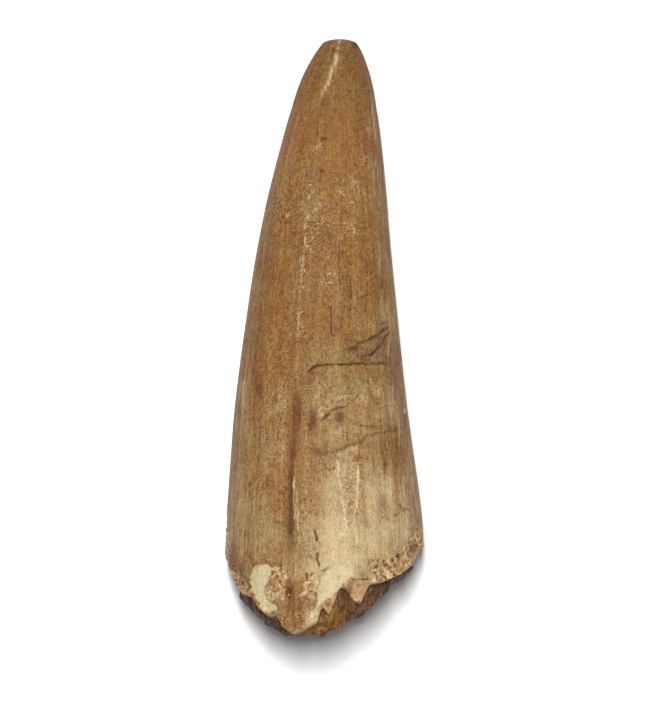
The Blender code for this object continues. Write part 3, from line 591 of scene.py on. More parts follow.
class FossilToothSettings(bpy.types.PropertyGroup):
    """Sizes of the tooth's relief and the colours of its enamel, dentine and core."""

    keel_height: length_property("Keel height", "How far the two keels stand out of the crown", 0.38 * MM)
    flute_height: length_property("Flute height", "Height of the broad lengthwise flutes", 0.075 * MM)
    rib_height: length_property("Rib height", "Height of the ribs near the base", 0.04 * MM)
    outer_layer: length_property("Outer layer", "Thickness of the light layer at the break", 1.1 * MM)
    crack_depth: length_property("Crack depth", "Depth of the widest cracks", 0.16 * MM)
    flake_depth: length_property("Flake depth", "Depth of the patches where enamel has flaked away", 0.2 * MM)
    crust_height: length_property("Crust height", "Height of the sandy crust's grains", 0.10 * MM)
    crystal_height: length_property("Crystal height", "Height of the core's crystal faces", 1.0 * MM)
    brown: colour_property("Brown enamel", "Enamel towards the tip", "#7f5829")
    tan: colour_property("Tan enamel", "Enamel towards the base", "#b09a72")
    gold: colour_property("Golden enamel", "Clear yellow-brown enamel beside the keel", "#7d5212")
    olive: colour_property("Olive enamel", "Enamel with a greenish mineral stain", "#85693a")
    grey: colour_property("Grey enamel", "Enamel with a smoky manganese stain", "#6c5a44")
    rust: colour_property("Rust stain", "Iron stain in the grooves", "#62360c")
    plum: colour_property("Plum stain", "Purple-brown iron stain beside the keel", "#50301a")
    umber: colour_property("Umber stain", "Dark stain in hollows and cracks", "#38230f")
    # Worn pale enamel, also used as the colour of the painted highlights and glints.
    rubbed_and_highlight: colour_property("Rubbed enamel", "Worn edges of keels and flakes", "#cdb68f")
    chalk: colour_property("Chalky dentine", "Dentine bared by flaking", "#bdaf8b")
    peach: colour_property("Sandy dentine", "Sandy crust and edge of the light layer", "#b28d62")
    broken: colour_property("Broken dentine", "Sloping breaks through the light layer", "#86654a")
    amber: colour_property("Amber core", "Olive-brown crystals of the core", "#6c460c")
    red_brown: colour_property("Red-brown core", "Iron-stained crystals of the core", "#5a361d")
    ash: colour_property("Grey-brown core", "Fine-grained grey part of the core", "#342111")


class CementedSandSettings(bpy.types.PropertyGroup):
    """Amount, size and colours of the sand grains cemented to the break."""

    count: IntProperty(
        name="Grains", description="Number of sand grains", default=1300, min=0, max=3000
    )
    smallest: length_property("Smallest grain", "Radius of the smallest grain", 0.05 * MM)
    largest: length_property("Largest grain", "Radius of the largest grain", 0.17 * MM)
    pale: colour_property("Pale sand", "Quartz grains", "#c9a97f")
    orange: colour_property("Orange sand", "Iron-stained grains", "#a27a50")
    dark: colour_property("Dark sand", "Ironstone grains", "#553519")


class FossilStudioSettings(bpy.types.PropertyGroup):
    """Floor, light and sky of the studio."""

    floor_size: length_property("Floor size", "Side of the square floor", 4.0)
    floor_colour: colour_property("Floor colour", "Matt white floor", "#f8f8f8")
    key_power: FloatProperty(
        name="Key power", description="Power of the soft light overhead", default=13.8, min=0.0, unit="POWER"
    )
    glint_power: FloatProperty(
        name="Glint power", description="Power of the small light", default=0.5, min=0.0, unit="POWER"
    )
    sky_strength: FloatProperty(
        name="Sky strength", description="Brightness of the even sky", default=0.19, min=0.0
    )


def eased(value, start, end):
    """0 before start and 1 after end, with a smooth rise between them."""
    share = np.clip((value - start) / (end - start), 0.0, 1.0)
    return share * share * (3.0 - 2.0 * share)


def along_line(value, points):
    """Height of the broken line through points given in millimetres, at each value in metres."""
    across, height = np.array(points).T * MM
    return np.interp(value, across, height)


def lobe(points, cell, seed):
    """Smooth noise between -1 and 1 at each point, with features about one cell across."""
    shift = Vector((seed * 17.3, seed * 5.1, seed * 9.7))
    return np.array([noise.noise(Vector(point) / cell + shift) for point in points])


def near_box(across, depth, points):
    """Whether each place lies in or near the box round points given in millimetres."""
    low = np.min(points, axis=0) * MM - FAR
    high = np.max(points, axis=0) * MM + FAR
    return (across > low[0]) & (across < high[0]) & (depth > low[1]) & (depth < high[1])


def line_distance(across, depth, points):
    """Distance of each place from a line through points in millimetres, held at FAR."""
    corners = np.array(points) * MM
    near = near_box(across, depth, points)
    places = np.stack([across[near], depth[near]], axis=-1)
    nearest = np.full(len(places), FAR)
    for start, end in zip(corners[:-1], corners[1:]):
        edge = end - start
        share = np.clip(((places - start) @ edge) / (edge @ edge), 0.0, 1.0)
        nearest = np.minimum(nearest, np.linalg.norm(places - start - share[:, None] * edge, axis=-1))
    distance = np.full(across.shape, FAR)
    distance[near] = nearest
    return distance


def distance_inside(across, depth, outline):
    """How far each place lies inside a closed outline in millimetres; negative outside it."""
    corners = np.array(outline) * MM
    inside = np.zeros(across.shape, bool)
    for start, end in zip(corners, np.roll(corners, -1, axis=0)):
        crosses = (start[1] > depth) != (end[1] > depth)
        rise = end[1] - start[1] if end[1] != start[1] else 1.0
        inside ^= crosses & (across < start[0] + (depth - start[1]) * (end[0] - start[0]) / rise)
    nearest = line_distance(across, depth, (*outline, outline[0]))
    return np.where(inside, nearest, -nearest)


def soft_marks(across, depth, marks):
    """Sum of soft oval marks at each place, between 0 and 1."""
    total = np.zeros(across.shape)
    for mark_across, mark_depth, half_width, half_length, strength in marks:
        away = ((across / MM - mark_across) / half_width) ** 2
        away += ((depth / MM - mark_depth) / half_length) ** 2
        total += strength * np.exp(-away)
    return np.clip(total, 0.0, 1.0)


def crown_radius(depth):
    """Half the crown's width at a depth."""
    held = np.minimum(depth, WIDEST_DEPTH)
    flank = BASE_RADIUS - FLANK_SLOPE * (BASE_DEPTH - held)
    nose = NOSE_TUCK * np.exp(-held / NOSE_LENGTH)
    along_shoulder = np.clip(held - SHOULDER_DEPTH, 0.0, None) / (BASE_DEPTH - SHOULDER_DEPTH)
    past = np.clip(depth - WIDEST_DEPTH, 0.0, None) / LIP_LENGTH
    return flank - nose + SHOULDER_TUCK * (1.0 - along_shoulder**2) - LIP_DROP * past**2


def centre_across(depth):
    """Sideways place of the crown's middle at a depth: the tip leans towards +X."""
    bend = np.clip(1.0 - depth / SWEEP_DEPTH, 0.0, None) ** SWEEP_POWER
    return TIP_SWEEP * bend + BASE_DRIFT * eased(depth, DRIFT_START, DRIFT_START + DRIFT_LENGTH)


def centre_height(depth):
    """Height of the crown's middle above the ground at a depth."""
    middle = crown_radius(BALANCE_DEPTH) * HEIGHT_TO_WIDTH - WORN_DEPTH
    return middle + AXIS_SLOPE * (depth - BALANCE_DEPTH)


def place(angle, depth, radius):
    """Point at an angle, a depth and a distance from the crown's middle line."""
    half_width = radius * (1.0 + along_line(depth, SIDE_FULLNESS) / crown_radius(depth))
    return np.stack(
        [
            centre_across(depth) + half_width * np.sin(angle),
            -depth,
            centre_height(depth) + HEIGHT_TO_WIDTH * radius * np.cos(angle),
        ],
        axis=-1,
    )


def keels(angle, depth, radius, height):
    """Relief of the two keels, which fade out on the worn tip."""
    line_depth, line_angle = np.array(KEEL_LINE).T
    upper = np.radians(np.interp(depth, line_depth * MM, line_angle))
    relief = np.zeros_like(angle)
    for crest in (upper, math.pi - upper):
        turn = np.abs((angle - crest + math.pi) % math.tau - math.pi)
        relief += height / (1.0 + (turn * radius / KEEL_HALF_WIDTH) ** 2) ** 1.5
    return relief * (KEEL_ON_TIP + (1.0 - KEEL_ON_TIP) * eased(depth, KEEL_START, KEEL_FULL))


def flutes(angle, depth, height):
    """Relief of the lengthwise flutes, unevenly spaced round the tooth."""
    drift = 0.9 * np.sin(3.0 * angle + 1.0) + 0.6 * np.sin(5.0 * angle + 2.3)
    strength = 0.65 + 0.35 * np.sin(2.0 * angle + 0.7)
    wave = np.cos(FLUTE_COUNT * angle + drift)
    return height * strength * wave * eased(depth, FLUTE_START, FLUTE_FULL)


def ribs(angle, depth, height):
    """Relief of the narrower ribs, which show in the lower half of the crown."""
    drift = 1.4 * np.sin(2.0 * angle + 0.4) + 0.8 * np.sin(7.0 * angle)
    strength = 0.55 + 0.45 * np.sin(3.0 * angle + 0.2)
    wave = np.cos(RIB_COUNT * angle + drift)
    return height * strength * wave * eased(depth, RIB_START, RIB_FULL)


def rim_depth(angle):
    """Depth at which the outer layer breaks off, at each angle."""
    across = BASE_DRIFT + BASE_RADIUS * np.sin(angle)
    upper = along_line(across, UPPER_RIM)
    lower = along_line(across, LOWER_RIM)
    ring = np.stack([np.cos(angle), np.sin(angle), np.zeros_like(angle)], axis=-1) * BASE_RADIUS
    jag = lobe(ring, JAG_CELL, seed=11) + 0.6 * lobe(ring, SMALL_JAG_CELL, seed=12)
    return np.where(np.cos(angle) > 0.0, upper, lower) + RIM_JAG * jag


def seen_from_above(points):
    """Across and depth at which the view from above shows each point, depth from the tip it shows."""
    camera = np.array([MIDDLE + CAMERA_OFF_CENTRE[0], -TOOTH_LENGTH / 2.0 + CAMERA_OFF_CENTRE[1]])
    nearness = CAMERA_RANGE / (CAMERA_RANGE - (points[..., 2] - MID_HEIGHT))
    seen = camera + (points[..., :2] - camera) * nearness[..., None]
    return seen[..., 0], -seen[..., 1] - TIP_SEEN_LOWER


def thin_marks(angle, depth):
    """Darkness of the cracks, paleness of the thin lines, and distance from the nearest small mark."""
    points = place(angle, depth, crown_radius(depth))
    above = eased(np.cos(angle), BELOW, ABOVE)
    shake_across = CRACK_SHAKE * lobe(points, COARSE_CELL, seed=31)
    shake_depth = CRACK_SHAKE * lobe(points, COARSE_CELL, seed=32)
    width = 1.0 + 0.6 * lobe(points, WIDTH_CELL, seed=33)
    across, seen_depth = seen_from_above(points)
    upper = (above, across + shake_across, seen_depth + shake_depth)
    lower = (1.0 - above, points[..., 0] + shake_across, depth + shake_depth)
    crack, pale_line = np.zeros(angle.shape), np.zeros(angle.shape)
    nearest = np.full(angle.shape, FAR)
    for total, (weight, x, y), lines in (
        (crack, upper, UPPER_CRACKS), (crack, lower, LOWER_CRACKS), (pale_line, upper, PALE_LINES),
    ):
        for strength, half_width, line in lines:
            away = line_distance(x, y, line) + FAR * (1.0 - weight)
            share = strength * width * np.exp(-((away / (half_width * width * MM)) ** 2))
            np.maximum(total, share, out=total)
            np.minimum(nearest, away, out=nearest)
    for mark_across, mark_depth, half_width, half_length, _ in SMALL_MARKS:
        away_x = np.abs(across - mark_across * MM) - FINE_SHARE * half_width * MM
        away_y = np.abs(seen_depth - mark_depth * MM) - FINE_SHARE * half_length * MM
        away = np.maximum(away_x, away_y) + FAR * (1.0 - above)
        np.minimum(nearest, away, out=nearest)
    return np.clip(crack, 0.0, 1.0), np.clip(pale_line, 0.0, 1.0), nearest


def marks_at(angle, depth):
    """Strength of every kind of mark at each place; for patches it is the distance inside their edges."""
    points = place(angle, depth, crown_radius(depth))
    above = eased(np.cos(angle), BELOW, ABOVE)
    sides = ((above, *seen_from_above(points)), (1.0 - above, points[..., 0], depth))
    masks = {}
    for name, marks in SOFT_MARKS.items():
        masks[name] = sum(
            weight * soft_marks(x, y, drawn) for (weight, x, y), drawn in zip(sides, marks)
        )
    for name, outlines in PATCHES.items():
        masks[name] = np.full(angle.shape, -FAR)
        for (weight, x, y), drawn in zip(sides, outlines):
            for outline in drawn:
                inside = distance_inside(x, y, outline) - FAR * (1.0 - weight)
                masks[name] = np.maximum(masks[name], inside)
    band_angle, band_width = np.array(CRUST_BAND).T
    width = np.interp(np.degrees(angle), band_angle, band_width) * MM
    band = np.where(width > 0.0, width - (rim_depth(angle) - depth), -FAR)
    masks["crust"] = np.maximum(masks["crust"], band)
    masks["crack"], masks["rubbed_and_highlight"], _ = thin_marks(angle, depth)
    return masks


def marked_relief(angle, depth, masks, sizes):
    """Relief that the marks give the surface."""
    points = place(angle, depth, crown_radius(depth))
    coarse = lobe(points, COARSE_CELL, seed=21)
    grain = 0.6 * coarse + 0.5 * lobe(points, FINE_CELL, seed=22)
    flaked = eased(masks["chalk"], -0.10 * MM, 0.14 * MM)
    crusted = eased(masks["crust"], -0.15 * MM, 0.35 * MM) * (1.0 - flaked)
    rough = eased(masks["rough"], -0.1 * MM, 0.15 * MM)
    relief = -sizes.crack_depth * masks["crack"]
    relief -= sizes.flake_depth * flaked * (1.0 - 0.12 * coarse)
    relief += crusted * (sizes.crust_height * grain - 0.3 * sizes.flake_depth)
    relief += GRIT_HEIGHT * masks["grit"] * grain
    relief += ROUGH_HEIGHT * rough * (grain - 1.0)
    relief += LIFT_HEIGHT * masks["lift"] + RUBBED_HEIGHT * masks["rubbed_and_highlight"]
    relief -= masks["umber"] * (PIT_DEPTH * eased(depth, PITS_START, PITS_FULL) + STAIN_DEPTH)
    across, seen_depth = seen_from_above(points)
    for fall, edge, outline in UPPER_FACETS:
        slope = np.clip(line_distance(across, seen_depth, edge) / FACET_RUN, 0.0, 1.0)
        inside = eased(distance_inside(across, seen_depth, outline), -0.05 * MM, 0.08 * MM)
        relief -= fall * MM * slope * inside * (np.cos(angle) > 0.0)
    return relief


def side_radius(angle, depth, sizes):
    """Distance of the outer surface from the middle line, with all its relief."""
    radius = crown_radius(depth)
    swell = SWELL_HEIGHT * lobe(place(angle, depth, radius), SWELL_CELL, seed=1)
    relief = keels(angle, depth, radius, sizes.keel_height) + flutes(angle, depth, sizes.flute_height)
    relief += ribs(angle, depth, sizes.rib_height) + swell * eased(depth, 0.0, FLUTE_START)
    return radius + relief + marked_relief(angle, depth, marks_at(angle, depth), sizes)


def crystal_relief(across, height, count, reach, tallest, steepness, seed):
    """Upper envelope of flat-faced pyramids, strewn over a field; always below zero."""
    chance = np.random.default_rng(seed)
    relief = np.full(across.shape, -np.inf)
    for _ in range(count):
        place_x, place_y, lift, twist, slope = chance.random(5)
        away_x = across - (2.0 * place_x - 1.0) * reach[0]
        away_y = height - (2.0 * place_y - 1.0) * reach[1]
        sides = 3 + int(4.0 * slope) % 2
        turns = [twist * math.tau + math.tau * side / sides for side in range(sides)]
        fall = np.max([away_x * math.cos(turn) + away_y * math.sin(turn) for turn in turns], axis=0)
        relief = np.maximum(relief, lift * tallest - steepness * (0.6 + slope) * fall)
    return relief - tallest


def core_radius(angle, depth, sizes):
    """Distance of the core's side from the middle line, where the outer layer is missing."""
    radius = crown_radius(depth) - sizes.outer_layer
    points = place(angle, depth, radius)
    count, tallest, steepness, seed = SIDE_CRYSTALS
    field = (BASE_RADIUS * math.pi, SIDE_CRYSTAL_REACH)
    along = depth - SIDE_CRYSTAL_DEPTH
    crystals = crystal_relief(BASE_RADIUS * angle, along, count, field, tallest, steepness, seed)
    return radius + CORE_FULLNESS + 0.8 * crystals + CORE_GRAIN * lobe(points, CORE_CELL, seed=3)


def end_depth(across, height):
    """Depth of the broken end face at a place across it, height counted from its middle."""
    edge_drop = CORE_EDGE_DROP * (height / BASE_RADIUS) ** 2
    return along_line(across, CORE_OUTLINE) - edge_drop


def core_edge_depth(angle, sizes):
    """Depth at which the core's side meets the end face."""
    radius = BASE_RADIUS - sizes.outer_layer - CORE_TAPER
    edge = end_depth(BASE_DRIFT + radius * np.sin(angle), radius * np.cos(angle))
    return np.maximum(edge, rim_depth(angle) + LEDGE_BEVEL + CORE_LEAST_STEP)


def tip_cap(angle, share, sizes):
    """Worn, slightly domed tip, from its middle to the start of the side."""
    start = np.full_like(angle, TIP_CAP_DEPTH)
    rim = side_radius(angle, start, sizes)
    points = place(angle, start, rim * share)
    points[..., 1] = -TIP_CAP_DEPTH * share**TIP_DOME_POWER
    return points


def side_depth(angle, share):
    """Depth of the side's rings, level near the tip and following the broken rim near the end."""
    paced = np.interp(share, *np.array(SIDE_PACE).T)
    level = TIP_CAP_DEPTH + paced * (WIDEST_DEPTH - TIP_CAP_DEPTH)
    follow = TIP_CAP_DEPTH + paced * (rim_depth(angle) - TIP_CAP_DEPTH)
    return level + (follow - level) * eased(share, RIM_FOLLOW_START, 1.0)


def side(angle, share, sizes):
    """Outer surface of the crown."""
    depth = side_depth(angle, share)
    return place(angle, depth, side_radius(angle, depth, sizes))


def ledge(angle, share, sizes):
    """Broken edge of the outer layer, stepping in from the rim to the core."""
    rim = rim_depth(angle)
    inner_depth = rim + LEDGE_BEVEL
    outer = place(angle, rim, side_radius(angle, rim, sizes))
    inner = place(angle, inner_depth, core_radius(angle, inner_depth, sizes))
    points = outer + (inner - outer) * share[..., None]
    points[..., 1] += LEDGE_GRAIN * lobe(points, LEDGE_CELL, seed=5) * np.sin(math.pi * share)
    return points


def core_side(angle, share, sizes):
    """Side of the core, from under the ledge to the edge of the end face."""
    start = rim_depth(angle) + LEDGE_BEVEL
    depth = start + (core_edge_depth(angle, sizes) - start) * share
    return place(angle, depth, core_radius(angle, depth, sizes) - CORE_TAPER * share**2)


def end_face(angle, share, sizes):
    """Broken end of the core, from its edge to the middle."""
    edge_depth = core_edge_depth(angle, sizes)
    edge = place(angle, edge_depth, core_radius(angle, edge_depth, sizes) - CORE_TAPER)
    middle = place(0.0, np.float64(WIDEST_DEPTH), 0.0)
    points = edge + (middle - edge) * share[..., None]
    across = points[..., 0]
    height = (points[..., 2] - middle[2]) / HEIGHT_TO_WIDTH
    field = (BASE_RADIUS, BASE_RADIUS)
    tallest = sizes.crystal_height
    large = crystal_relief(
        across, height, LARGE_CRYSTAL_COUNT, field, tallest, LARGE_CRYSTAL_SLOPE, seed=7
    )
    count, tallest, steepness, seed = SMALL_CRYSTALS
    small = crystal_relief(across, height, count, field, tallest, steepness, seed)
    inner = end_depth(across, height) + large + 0.45 * small + FACE_FULLNESS
    depth = edge_depth + (inner - edge_depth) * eased(share, 0.0, 0.14)
    points[..., 1] = -depth
    return points


# The stretches of the surface from the tip to the middle of the end face, and the rings in each.
STRETCHES = (
    (tip_cap, TIP_RINGS), (side, SIDE_RINGS), (ledge, LEDGE_RINGS), (core_side, CORE_RINGS),
    (end_face, FACE_RINGS),
)
RINGS = sum(rings for _, rings in STRETCHES)
LEDGE_RING = TIP_RINGS + SIDE_RINGS
CORE_RING = LEDGE_RING + LEDGE_RINGS


def ball_turns(mesh):
    """Even angle and ring number of every vertex of the ball that the tooth is drawn from."""
    ball = np.empty(len(mesh.vertices) * 3)
    mesh.vertices.foreach_get("co", ball)
    ball = ball.reshape(-1, 3)
    polar = np.arccos(np.clip(ball[:, 2] / np.linalg.norm(ball, axis=1), -1.0, 1.0))
    return np.arctan2(ball[:, 0], ball[:, 1]), polar / math.pi * RINGS


def ball_places(mesh):
    """Angle on the tooth and ring number of every vertex of the ball; they stand closer together on top."""
    angle, ring = ball_turns(mesh)
    return angle - UPPER_CROWDING * np.sin(angle), ring


def sort_new_vertices(mesh, first_new):
    """Puts the vertices from first_new on in order of their place, so that every run gives the same mesh."""
    angle, ring = ball_turns(mesh)
    across = np.rint(angle[first_new:] / math.tau * SEGMENTS * SORT_STEPS)
    along = np.rint(ring[first_new:] * SORT_STEPS)
    rank = np.arange(len(angle), dtype=float)
    rank[first_new + np.lexsort((across, along))] = rank[first_new:].copy()
    sorter = bmesh.new()
    sorter.from_mesh(mesh)
    sorter.verts.sort(key=lambda vertex: rank[vertex.index])
    sorter.to_mesh(mesh)
    sorter.free()


def surface_depth(angle, ring):
    """Depth on the crown of each place, held at the rim past it."""
    share = np.clip((ring - TIP_RINGS) / SIDE_RINGS, 0.0, 1.0)
    return side_depth(angle, share)


def refine_near_marks(tooth):
    """Cuts the faces along cracks, pale lines and small marks into smaller ones."""
    mesh = tooth.data
    vertex_count = len(mesh.vertices)
    angle, ring = ball_places(mesh)
    near = thin_marks(angle, surface_depth(angle, ring))[2]
    near[(ring < TIP_RINGS) | (ring > LEDGE_RING)] = FAR
    bpy.ops.object.mode_set(mode="EDIT")
    bpy.ops.mesh.select_mode(type="FACE")
    bpy.ops.mesh.select_all(action="DESELECT")
    bpy.ops.object.mode_set(mode="OBJECT")
    chosen = [min(near[index] for index in face.vertices) < FINE_REACH for face in mesh.polygons]
    mesh.polygons.foreach_set("select", chosen)
    bpy.ops.object.mode_set(mode="EDIT")
    bpy.ops.mesh.subdivide(number_cuts=FINE_CUTS, quadcorner="INNERVERT")
    bpy.ops.object.mode_set(mode="OBJECT")
    sort_new_vertices(mesh, vertex_count)


def shape_tooth(tooth, sizes):
    """Draws the ball out into the tooth and stores its marks for the finishes."""
    mesh = tooth.data
    angle, ring = ball_places(mesh)
    points = np.zeros((len(angle), 3))
    first = 0
    for stretch, rings in STRETCHES:
        chosen = (ring >= first - 0.001) & (ring <= first + rings + 0.001)
        share = np.clip((ring[chosen] - first) / rings, 0.0, 1.0)
        points[chosen] = stretch(angle[chosen], share, sizes)
        first += rings
    masks = marks_at(angle, surface_depth(angle, ring))
    masks["inward"] = np.clip((ring - LEDGE_RING) / LEDGE_RINGS, 0.0, 1.0)
    for name in PATCHES:
        masks[name] = masks[name] / MM
    for name, values in masks.items():
        stored = mesh.attributes.new(name, "FLOAT", "POINT")
        stored.data.foreach_set("value", values.astype(np.float32))
    # The striae follow a straight cylinder as wide as the base, wrapped round the tooth.
    round_about = [BASE_RADIUS * np.cos(angle), BASE_RADIUS * np.sin(angle), -points[:, 1]]
    grain = np.stack(round_about, axis=-1)
    stored = mesh.attributes.new("grain", "FLOAT_VECTOR", "POINT")
    stored.data.foreach_set("vector", grain.ravel().astype(np.float32))
    points[:, 2] = np.maximum(points[:, 2], 0.0)
    points[:, 0] -= MIDDLE
    points[:, 1] += TOOTH_LENGTH / 2.0
    mesh.vertices.foreach_set("co", points.ravel())
    face_ring = [min(ring[index] for index in face.vertices) for face in mesh.polygons]
    finish = [int(low >= LEDGE_RING - 0.01) + int(low >= CORE_RING - 0.01) for low in face_ring]
    mesh.polygons.foreach_set("material_index", finish)
    mesh.update()


def node(tree, kind, sockets=None, output=0, **settings):
    """Adds a node with its settings, fills or links its input sockets, and gives one of its outputs.

    Sockets go by name or number. A Map Range has its value at 0, the range that it reads at 1 and 2, and
    the range that it gives at 3 and 4. A colour Mix has its share at 0, its colours at 6 and 7, and its
    result at output 2.
    """
    made = tree.nodes.new("ShaderNode" + kind)
    for name, value in settings.items():
        setattr(made, name, value)
    for socket, value in (sockets or {}).items():
        if isinstance(value, bpy.types.NodeSocket):
            tree.links.new(value, made.inputs[socket])
        else:
            made.inputs[socket].default_value = value
    return made.outputs[output]


def opaque(colour):
    """Colour with full alpha."""
    return (*colour, 1.0)


def new_finish(name, roughness, ior):
    """Empty finish: its material, node tree and shader."""
    material = bpy.data.materials.new(name)
    material.use_nodes = True
    tree = material.node_tree
    shader = tree.nodes["Principled BSDF"]
    shader.inputs["Roughness"].default_value = roughness
    shader.inputs["IOR"].default_value = ior
    return material, tree, shader


def noises(tree, vector, patterns):
    """Noise textures over a vector, by name; each pattern is its size in millimetres along every axis."""
    made = {}
    for name, size in patterns.items():
        scale = tuple(1.0 / (length * MM) for length in size)
        drawn = node(tree, "Mapping", {"Vector": vector, "Scale": scale})
        made[name] = node(tree, "TexNoise", {"Vector": drawn, "Scale": 1.0, "Detail": 2.0})
    return made


def specked(tree, ground, specks):
    """Ground colour with specks: each has its pattern, where it starts and is full, its share and colour."""
    for pattern, start, full, most, tint in specks:
        share = node(tree, "MapRange", {0: pattern, 1: start, 2: full, 4: most})
        ground = node(tree, "Mix", {0: share, 6: ground, 7: opaque(tint)}, 2, data_type="RGBA")
    return ground


def stained(tree, ground, mask, wave, stains):
    """Ground colour with marks in it, each broken up by a pattern that lets least to most of it through."""
    for name, pattern, start, full, least, most, tint in stains:
        broken = node(tree, "MapRange", {0: wave[pattern], 1: start, 2: full, 3: least, 4: most})
        share = node(tree, "Math", {0: mask[name], 1: broken}, operation="MULTIPLY")
        ground = node(tree, "Mix", {0: share, 6: ground, 7: opaque(tint)}, 2, data_type="RGBA")
    return ground


def patch_share(tree, inside, pattern, shake, start, full, most=1.0):
    """How much of a patch shows, from the millimetres inside its edge, which a pattern makes ragged."""
    ragged = node(tree, "MapRange", {0: pattern, 1: NOISE_LOW, 2: NOISE_HIGH, 3: -shake, 4: shake})
    inside = node(tree, "Math", {0: inside, 1: ragged}, operation="ADD")
    return node(tree, "MapRange", {0: inside, 1: start, 2: full, 4: most})


def enamel_shade(tree, wave, flank, depth, paleness):
    """Lightness of the enamel, by colour channel: striae show most on the flanks, as painted light and shade
    along them, and least where it is pale.

    The flanks are darker as painted shade, where the light falls off round the sides; the worn tip is darker
    too.
    """
    # Painted shade: the enamel is darker towards the flanks, where the light falls off round the sides. It is
    # also darker towards the tip.
    shade = node(tree, "MapRange", {0: flank, 3: 0.97, 4: 0.85})
    darker_tip = node(tree, "MapRange", {0: depth, 1: 0.5 * MM, 2: 9.0 * MM, 3: 0.28, 4: 0.0})
    shade = node(tree, "Math", {0: shade, 1: darker_tip}, operation="SUBTRACT")
    calm = node(tree, "MapRange", {0: paleness, 1: 0.1, 2: 0.9, 3: 1.0, 4: 0.54})
    smooth_tip = node(tree, "MapRange", {0: depth, 1: 7.0 * MM, 2: 16.0 * MM, 3: 0.74, 4: 1.0})
    calm = node(tree, "Math", {0: calm, 1: smooth_tip}, operation="MULTIPLY")
    for name, (on_top, on_flank) in MOTTLING.items():
        reach = node(tree, "MapRange", {0: flank, 3: on_top, 4: on_flank})
        reach = node(tree, "Math", {0: reach, 1: calm}, operation="MULTIPLY")
        shift = node(tree, "MapRange", {0: wave[name], 1: NOISE_LOW, 2: NOISE_HIGH, 3: -1.0, 4: 1.0})
        shift = node(tree, "Math", {0: shift, 1: reach}, operation="MULTIPLY")
        shade = node(tree, "Math", {0: shade, 1: shift}, operation="ADD")
    shade = node(tree, "Math", {0: shade, 1: DARKEST}, operation="MAXIMUM")
    channels = {}
    for socket, contrast in enumerate(CHANNEL_CONTRAST):
        parts = {0: shade, 1: contrast, 2: 1.0 - contrast}
        channels[socket] = node(tree, "Math", parts, operation="MULTIPLY_ADD")
    return node(tree, "CombineColor", channels)


